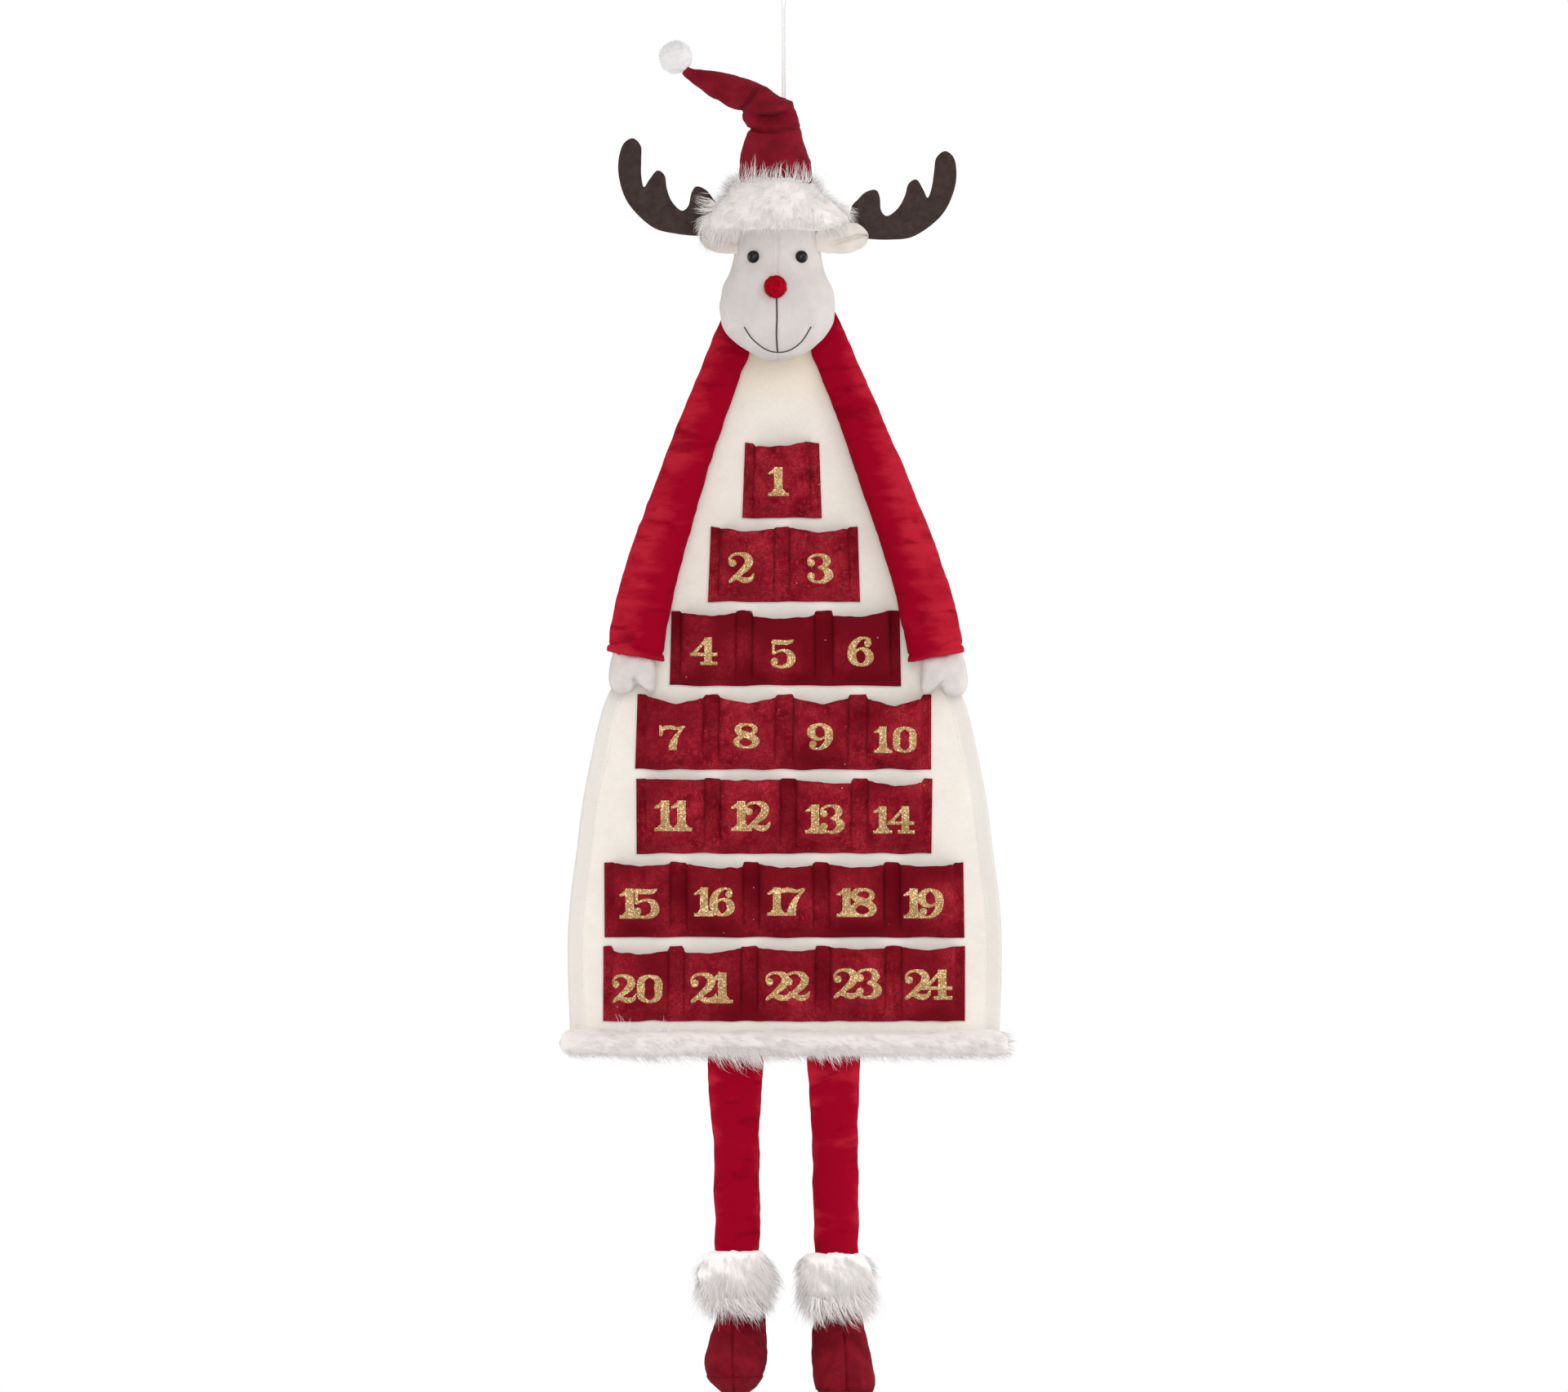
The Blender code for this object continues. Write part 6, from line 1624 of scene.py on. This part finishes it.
# locks that stand over the hat, the antlers and the left ear: root and tip in picture pixels, their
# depths, the number of hairs and their spread
brimTufts = [
    (924, 216, 925, 190, -0.0655, -0.0635, 4, 1.2), (880, 252, 850, 245, -0.045, -0.043, 26, 2.4),
    (876, 258, 853, 257, -0.045, -0.043, 34, 3.4), (872, 264, 855, 273, -0.045, -0.042, 44, 4.0),
    (871, 268, 856, 284, -0.048, -0.05, 60, 4.4), (874, 272, 860, 297, -0.05, -0.053, 44, 4.0),
    (880, 274, 869, 305, -0.054, -0.057, 44, 4.0), (888, 276, 880, 309, -0.058, -0.061, 40, 4.0),
    (896, 276, 892, 305, -0.062, -0.065, 30, 4.0), (903, 276, 903, 298, -0.066, -0.069, 14, 4.0),
    (1032, 256, 1051, 262, -0.045, -0.043, 16, 2.6), (1030, 260, 1047, 270, -0.046, -0.043, 18, 3.0),
    (1024, 252, 1044, 252, -0.045, -0.044, 14, 3.0), (915, 276, 914, 289, -0.076, -0.077, 10, 3.0),
    (932, 274, 930, 283, -0.079, -0.08, 10, 4.0), (1000, 272, 1004, 285, -0.068, -0.069, 12, 3.0),
]
brimTufts += [
    (866, 268, 859, 293, -0.044, -0.047, 12, 3.0), (874, 272, 868, 301, -0.048, -0.051, 12, 3.0),
    (883, 274, 879, 303, -0.052, -0.055, 12, 3.0), (891, 276, 889, 300, -0.056, -0.059, 12, 3.0),
    (898, 276, 897, 296, -0.062, -0.065, 10, 3.0), (1014, 270, 1020, 284, -0.058, -0.06, 10, 3.0),
    (1024, 266, 1034, 278, -0.052, -0.054, 10, 3.0),
]
dice = np.random.default_rng(104)
for x in np.linspace(904, 993, 34):
    near = -0.0565 - 0.0095 * math.cos((x - 948) / 46 * 1.3)
    lean, high = dice.normal(0, 5.0), dice.uniform(3, 20)
    brimTufts.append((x, 224, x + lean, 216 - high, near, near + 0.0022, 4, 1.3))
for x in np.linspace(906, 1006, 24):
    near = -0.064 - 0.0145 * math.cos((x - 952) / 52 * 1.2)
    brimTufts.append((x, 273, x + dice.normal(-2, 5), 282 + dice.uniform(1, 11), near, near - 0.001, 5,
                      1.6))
brimLook = {
    "count": 5200, "seed": 103, "comb": brimComb, "lift": 0.15, "stray": 0.16, "locks": 150,
            "gather": 0.3,
    "length": lambda at: 0.0105 + 0.004 * eased(np.abs(at[:, 0] - headShape["shift"]), 0.04, 0.065),
    "tufts": brimTufts, "arch": 0.1, "width": 0.00034, "keep": brimKeep,
    "hold": nearBoard(boardBack + 0.0006),
}
brim = growFur(base, "brim_fur", brimLook)
finishPiece(brim, "body", ["hat_fur_brim"])
print("brim fur")


def ballGrid(centre, radius, rows, cols):
    turn = np.linspace(0.06, np.pi - 0.06, rows)
    around = np.linspace(0, 2 * np.pi, cols, endpoint=False)
    grid = np.stack([np.sin(turn)[:, None] * np.cos(around), np.sin(turn)[:, None] * np.sin(around),
                     np.repeat(np.cos(turn)[:, None], cols, 1)], -1)
    return np.array(centre) + grid * radius, np.array(centre) + (0, 0, radius), np.array(centre) - (0, 0,
            radius)


place = spot((827.5, 71))
base = newPiece("pompom_ground", *closedTube(*ballGrid((place[0], hatMiddle, place[1]), 0.0142, 40, 60)),
                whiteWool)
p, n = readPoints(base), readNormals(base)
movePoints(base, p + n * (0.0004 * ripple(p, 0.006, 111))[:, None])
woolLook = {"count": 2200, "seed": 112, "tone": 0.5, "lift": 0.12, "stray": 0.6, "locks": 400,
            "gather": 0.1, "length": lambda at: 0.002, "arch": 0.14, "width": 0.0003}
pompom = growFur(base, "hat_ball_wool", woolLook)
finishPiece(pompom, "body", ["hat_pompom"])

place, _ = onHead(spot([face["nose"]]))
noseMiddle = place[0] + (0, 0.004 - face["noseSize"] / 2, 0)
base = newPiece("nose_ground", *closedTube(*ballGrid(noseMiddle, face["noseSize"] / 2 - 0.0003, 36, 56)),
                noseFelt)
p, n = readPoints(base), readNormals(base)
movePoints(base, p + n * (0.00025 * ripple(p, 0.004, 121))[:, None])
noseLook = {"count": 3000, "seed": 122, "lift": 0.5, "stray": 0.8, "locks": 300, "gather": 0.2,
            "length": lambda at: 0.0012, "arch": 0.2, "width": 0.0002}
nose = growFur(base, "nose_ball_felt", noseLook)
finishPiece(nose, "body", ["nose"])

# the hem: a roll round the dowel, gathered at both ends, its fur combed along to the right
hemShape = {
    "middle": 0.0007, "half": 0.19975, "radius": 0.01225, "y": -0.00825, "z": -0.94025, "rings": 150,
    "around": 44, "least": 0.0012, "under": 0.0008,
}
s = np.linspace(-1, 1, hemShape["rings"])
# distance from the end in radii
inward = (1 - np.abs(s)) * hemShape["half"] / hemShape["radius"]
size = np.where(inward < 1, np.sqrt(np.clip(1 - (1 - np.clip(inward, 0, 1)) ** 2.4, 0, 1)),
                1.0) * hemShape["radius"]
size = np.maximum(size, hemShape["least"]) - hemShape["under"]      # the ground is under the hairs
turn = np.linspace(0, 2 * np.pi, hemShape["around"], endpoint=False)
gathers = 1 + 0.05 * np.cos(9 * turn)[None] * eased(1.2 - inward, 0.0, 1.0)[:, None]
grid = np.zeros((hemShape["rings"], hemShape["around"], 3))
grid[..., 0] = (hemShape["middle"] + s * (hemShape["half"] - hemShape["least"]))[:, None]
grid[..., 1] = hemShape["y"] - np.sin(turn)[None] * size[:, None] * gathers
grid[..., 2] = hemShape["z"] + np.cos(turn)[None] * size[:, None] * gathers
points, faces = closedTube(grid, grid[0].mean(0) + (0.0035, 0, 0), grid[-1].mean(0) - (0.0035, 0, 0))
base = newPiece("hem_ground", points, faces, whiteFur)
p, n = readPoints(base), readNormals(base)
p = p + n * (0.0005 * ripple(p, 0.025, 131) + 0.0003 * ripple(p * (0.3, 1, 1), 0.006, 130))[:, None]
p[:, 1] = np.minimum(p[:, 1], boardBack - 0.0001)
movePoints(base, p)


def hemComb(at, normal):
    # along the roll to the right and a little down, swirling slowly
    swirl = 0.5 * ripple(at, 0.06, 132)
    return np.column_stack([0.9 + 0.2 * swirl, np.full(len(at), -0.1), -0.42 + 0.35 * swirl])


def hemHold(points):
    # hairs stay before the panel, and before the wall below it
    onPanel = (points[:, 2] > -0.9375) & (points[:, 1] > boardFront)
    points[onPanel, 1] = boardFront
    points[:, 1] = np.minimum(points[:, 1], boardBack)
    return points


# locks hanging over the leg tops and wisps standing before the lowest pockets
hemTufts = [
    (878, 1284, 888, 1299, -0.02, -0.0285, 60, 7.0), (898, 1284, 910, 1303, -0.02, -0.0285, 90, 7.0),
    (918, 1284, 931, 1307, -0.02, -0.0285, 80, 5.0), (934, 1286, 941, 1300, -0.02, -0.024, 40, 5.0),
    (1000, 1286, 1007, 1298, -0.02, -0.0285, 40, 5.0), (1018, 1286, 1027, 1301, -0.02, -0.0285, 50, 5.0),
    (1040, 1286, 1048, 1296, -0.02, -0.0285, 24, 4.0), (762, 1262, 755, 1243, -0.019, -0.0205, 3, 2.0),
    (768, 1262, 771, 1250, -0.019, -0.0205, 5, 3.0), (806, 1262, 811, 1247, -0.019, -0.0205, 4, 3.0),
    (816, 1262, 822, 1252, -0.019, -0.0205, 5, 3.0),
]
dice = np.random.default_rng(134)
for x in np.linspace(692, 1228, 90):
    brink = 1.0 - 0.5 * eased(abs(x - 960), 240, 272)
    hemTufts.append((x, 1286, x + dice.uniform(2, 9), 1290 + brink * dice.uniform(4, 11), -0.015, -0.016,
                     8, 2.4))
    hemTufts.append((x, 1268, x + dice.normal(4, 5), 1262 - dice.uniform(0, 5), -0.011, -0.012, 6, 2.2))


def hemLength(at):
    # 10 mm, and up to 4 mm more at the lower edge round x = -30 mm
    return 0.01 + 0.004 * np.exp(-((at[:, 0] + 0.03) / 0.02) ** 2) * (at[:, 2] < -0.938)


hemLook = {
    "count": 6200, "seed": 133, "tone": 0.42, "comb": hemComb, "lift": 0.13, "stray": 0.18, "locks": 260,
    "gather": 0.35, "tufts": hemTufts, "length": hemLength, "arch": 0.1, "width": 0.00036,
    "hold": hemHold,
}
hem = growFur(base, "hem_fur_roll", hemLook)
finishPiece(hem, "body", ["hem_fur"])
print("hem fur")

# the fur cuffs over the boot tops; the locks at their lower edge sweep to the right over the boots
cuffTufts = {
    "left": ((872, 1592, 870, 1608, -0.036, -0.038, 12, 3.0),
    (880, 1592, 888, 1611, -0.042, -0.045, 14, 3.0), (889, 1590, 908, 1612, -0.044, -0.047, 15, 3.0),
    (899, 1590, 921, 1612, -0.045, -0.048, 15, 3.0), (909, 1589, 931, 1615, -0.045, -0.048, 14, 2.6),
    (918, 1586, 940, 1612, -0.044, -0.046, 14, 2.6), (928, 1582, 944, 1602, -0.04, -0.041, 12, 3.0),
    (860, 1578, 854, 1594, -0.025, -0.025, 12, 3.0), (860, 1562, 849, 1576, -0.02, -0.02, 14, 3.0),
    (864, 1588, 861, 1606, -0.03, -0.03, 14, 3.0), (860, 1546, 847, 1560, -0.015, -0.015, 12, 3.0),
    (866, 1538, 854, 1546, -0.015, -0.015, 10, 3.0), (944, 1578, 955, 1592, -0.02, -0.02, 12, 3.0),
    (946, 1562, 960, 1569, -0.015, -0.015, 8, 2.0), (944, 1566, 956, 1580, -0.015, -0.015, 10, 3.0)),
    "right": ((988, 1590, 990, 1609, -0.03, -0.031, 12, 3.0),
    (996, 1588, 1001, 1627, -0.04, -0.044, 13, 2.4), (1002, 1590, 1012, 1626, -0.044, -0.048, 13, 2.4),
    (1010, 1592, 1022, 1618, -0.045, -0.049, 12, 2.4), (1019, 1588, 1035, 1622, -0.046, -0.05, 13, 2.4),
    (1028, 1590, 1044, 1616, -0.046, -0.049, 12, 2.4), (1036, 1588, 1055, 1626, -0.045, -0.048, 14, 2.4),
    (1046, 1586, 1062, 1614, -0.042, -0.044, 13, 2.6), (1054, 1584, 1068, 1602, -0.035, -0.035, 12, 3.0),
    (984, 1574, 977, 1588, -0.02, -0.02, 12, 3.0), (982, 1552, 974, 1564, -0.015, -0.015, 12, 3.0),
    (986, 1542, 979, 1550, -0.015, -0.015, 8, 3.0), (1066, 1560, 1078, 1568, -0.015, -0.015, 12, 3.0),
    (1064, 1578, 1073, 1592, -0.02, -0.02, 14, 3.0)),
}
# left x, right x and y in picture pixels
cuffRows = {
    "left": ((874, 932, 1531.0), (864, 936, 1534), (856, 944, 1547), (855, 947, 1563), (859, 943, 1579),
    (867, 934, 1593), (877, 926, 1602)),
    "right": ((996, 1052, 1533.0), (987, 1058, 1536), (979, 1067, 1549), (978, 1069, 1565),
    (983, 1065, 1581), (991, 1057, 1595), (1000, 1049, 1604)),
}
cuffDeep = (0.66, 0.8, 0.94, 0.97, 0.94, 0.82, 0.66)      # shares of 35 mm that it stands out
cuffFlat = (0.9, 0.97, 0.975, 0.975, 0.975, 0.97, 0.92)      # shares of the way to the wall
cuffSeeds = {"left": 143, "right": 144}
for side in ("left", "right"):
    near = legMiddle - np.array(cuffDeep) * 0.035
    far = legMiddle + (boardBack - legMiddle) * np.array(cuffFlat)
    grid = edgeRings(levelRows(cuffRows[side]), near, far, 40, 80)
    base = newPiece(side + "_cuff_ground", *closedTube(grid, grid[0].mean(0), grid[-1].mean(0)), whiteFur)
    p, n = readPoints(base), readNormals(base)
    move = 0.001 * ripple(p, 0.022, 141) + 0.0006 * ripple(p * (1, 1, 0.4), 0.008, 140) - 0.0012
    p = p + n * (move * eased(boardBack - p[:, 1], 0.001, 0.006))[:, None]
    p[:, 1] = np.minimum(p[:, 1], boardBack)
    movePoints(base, p)
    middleX = float(grid[..., 0].mean())

    def cuffComb(at, normal):
        # out and down, long locks falling to the right
        swirl = 0.35 * ripple(at, 0.03, 142)
        fall = eased(-at[:, 2], 1.128, 1.17)
        outward = np.clip((at[:, 0] - middleX) / 0.032, -1, 1)
        return np.column_stack([0.26 + swirl + outward * np.where(outward > 0, 0.4 - 0.5 * fall, 0.5),
                                np.full(len(at), -0.05), -0.55 - 0.4 * fall + 0.3 * swirl])

    def cuffKeep(at, normal):
        return ~((np.abs(normal[:, 2]) > 0.8) & (np.abs(at[:, 0] - middleX) < 0.02))

    # the cuffs take the palest tone of the fur, which is painted light against the shade their dense hairs
    # cast
    cuffLook = {
        "count": 4600, "seed": cuffSeeds[side], "tone": 1.0, "comb": cuffComb, "lift": 0.1, "stray": 0.11,
        "locks": 90, "gather": 0.2, "length": lambda at: 0.0115 + 0.008 * eased(-at[:, 2], 1.13, 1.165),
        "arch": 0.06, "width": 0.00042, "hold": nearBoard(boardBack + 0.0006), "tufts": cuffTufts[side],
        "sag": 0.09, "keep": cuffKeep,
    }
    cuff = growFur(base, side + "_cuff_fur_band", cuffLook)
    finishPiece(cuff, side + "_leg", [side + "_fur_cuff"])
print("fur cuffs")


# the dowel inside the hem keeps its CAD shape

# turned beech: pale, straight grain along the rod
beech, shader = newMaterial("sandedBeech", Roughness=0.55)
place = addNode(beech, "ShaderNodeTexCoord")["Object"]
long = addNode(beech, "ShaderNodeMapping", {"Vector": place, "Scale": (6.0, 260.0, 260.0)})["Vector"]
grain = addNode(beech, "ShaderNodeTexNoise", {"Vector": long, "Scale": 1.0, "Detail": 3.0})["Fac"]
colour = addNode(beech, "ShaderNodeMix", {0: grain, 6: linear("#b08d62"), 7: linear("#d6b88e")},
                 data_type="RGBA")[2]
beech.node_tree.links.new(colour, shader.inputs["Base Color"])
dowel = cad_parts["hem_rod"]
dowel.data.materials.clear()
dowel.data.materials.append(beech)


# room and light

room = {"floor": -1.42, "size": 3.0, "world": 0.53, "key": 12.0, "front": 16.5, "fill": 7.5,
        "right": 25.0, "left": 17.0}
palePaper, shader = newMaterial("paleStudioPaper", Base_Color=linear("#f2f2f2"), Roughness=0.9)
half = room["size"] / 2
floor = newPiece("studio_floor", [(-half, -half, room["floor"]), (half, -half, room["floor"]),
                                  (half, half, room["floor"]), (-half, half, room["floor"])],
                 [np.array([[0, 1, 2, 3]])], palePaper, outward=False)

world = bpy.data.worlds.new("studio")
bpy.context.scene.world = world
world.use_nodes = True
backdrop = world.node_tree.nodes["Background"]
ray = addNode(world, "ShaderNodeLightPath")
seen = addNode(world, "ShaderNodeMath", {0: ray["Is Camera Ray"], 1: ray["Is Glossy Ray"]},
               operation="MAXIMUM")[0]
seen = addNode(world, "ShaderNodeMath", {0: seen, 1: ray["Is Transmission Ray"]}, operation="MAXIMUM")[0]
level = addNode(world, "ShaderNodeMapRange", {"Value": seen, "To Min": room["world"],
                                              "To Max": 1.0})["Result"]
backdrop.inputs["Color"].default_value = (1, 1, 1, 1)
world.node_tree.links.new(level, backdrop.inputs["Strength"])


def softLamp(name, power, size, place, target):
    lamp = bpy.data.objects.new(name, bpy.data.lights.new(name, "AREA"))
    lamp.data.energy, lamp.data.shape, lamp.data.size = power, "SQUARE", size
    lamp.location = place
    lamp.rotation_euler = (Vector(target) - Vector(place)).to_track_quat("-Z", "Y").to_euler()
    bpy.context.scene.collection.objects.link(lamp)


softLamp("key", room["key"], 1.7, (1.5, -1.8, 0.7), (0, 0, -0.65))
softLamp("fill", room["fill"], 1.2, (-0.4, -2.2, -1.0), (0, 0, -1.15))
softLamp("front", room["front"], 1.2, (0.1, -2.6, 0.1), (0, 0, -0.55))
softLamp("rightSide", room["right"], 1.6, (2.2, 0.3, -0.5), (0, 0, -0.6))
softLamp("leftSide", room["left"], 1.6, (-2.2, 0.3, -0.5), (0, 0, -0.7))
bpy.context.scene.view_settings.view_transform = "Standard"
print("room")
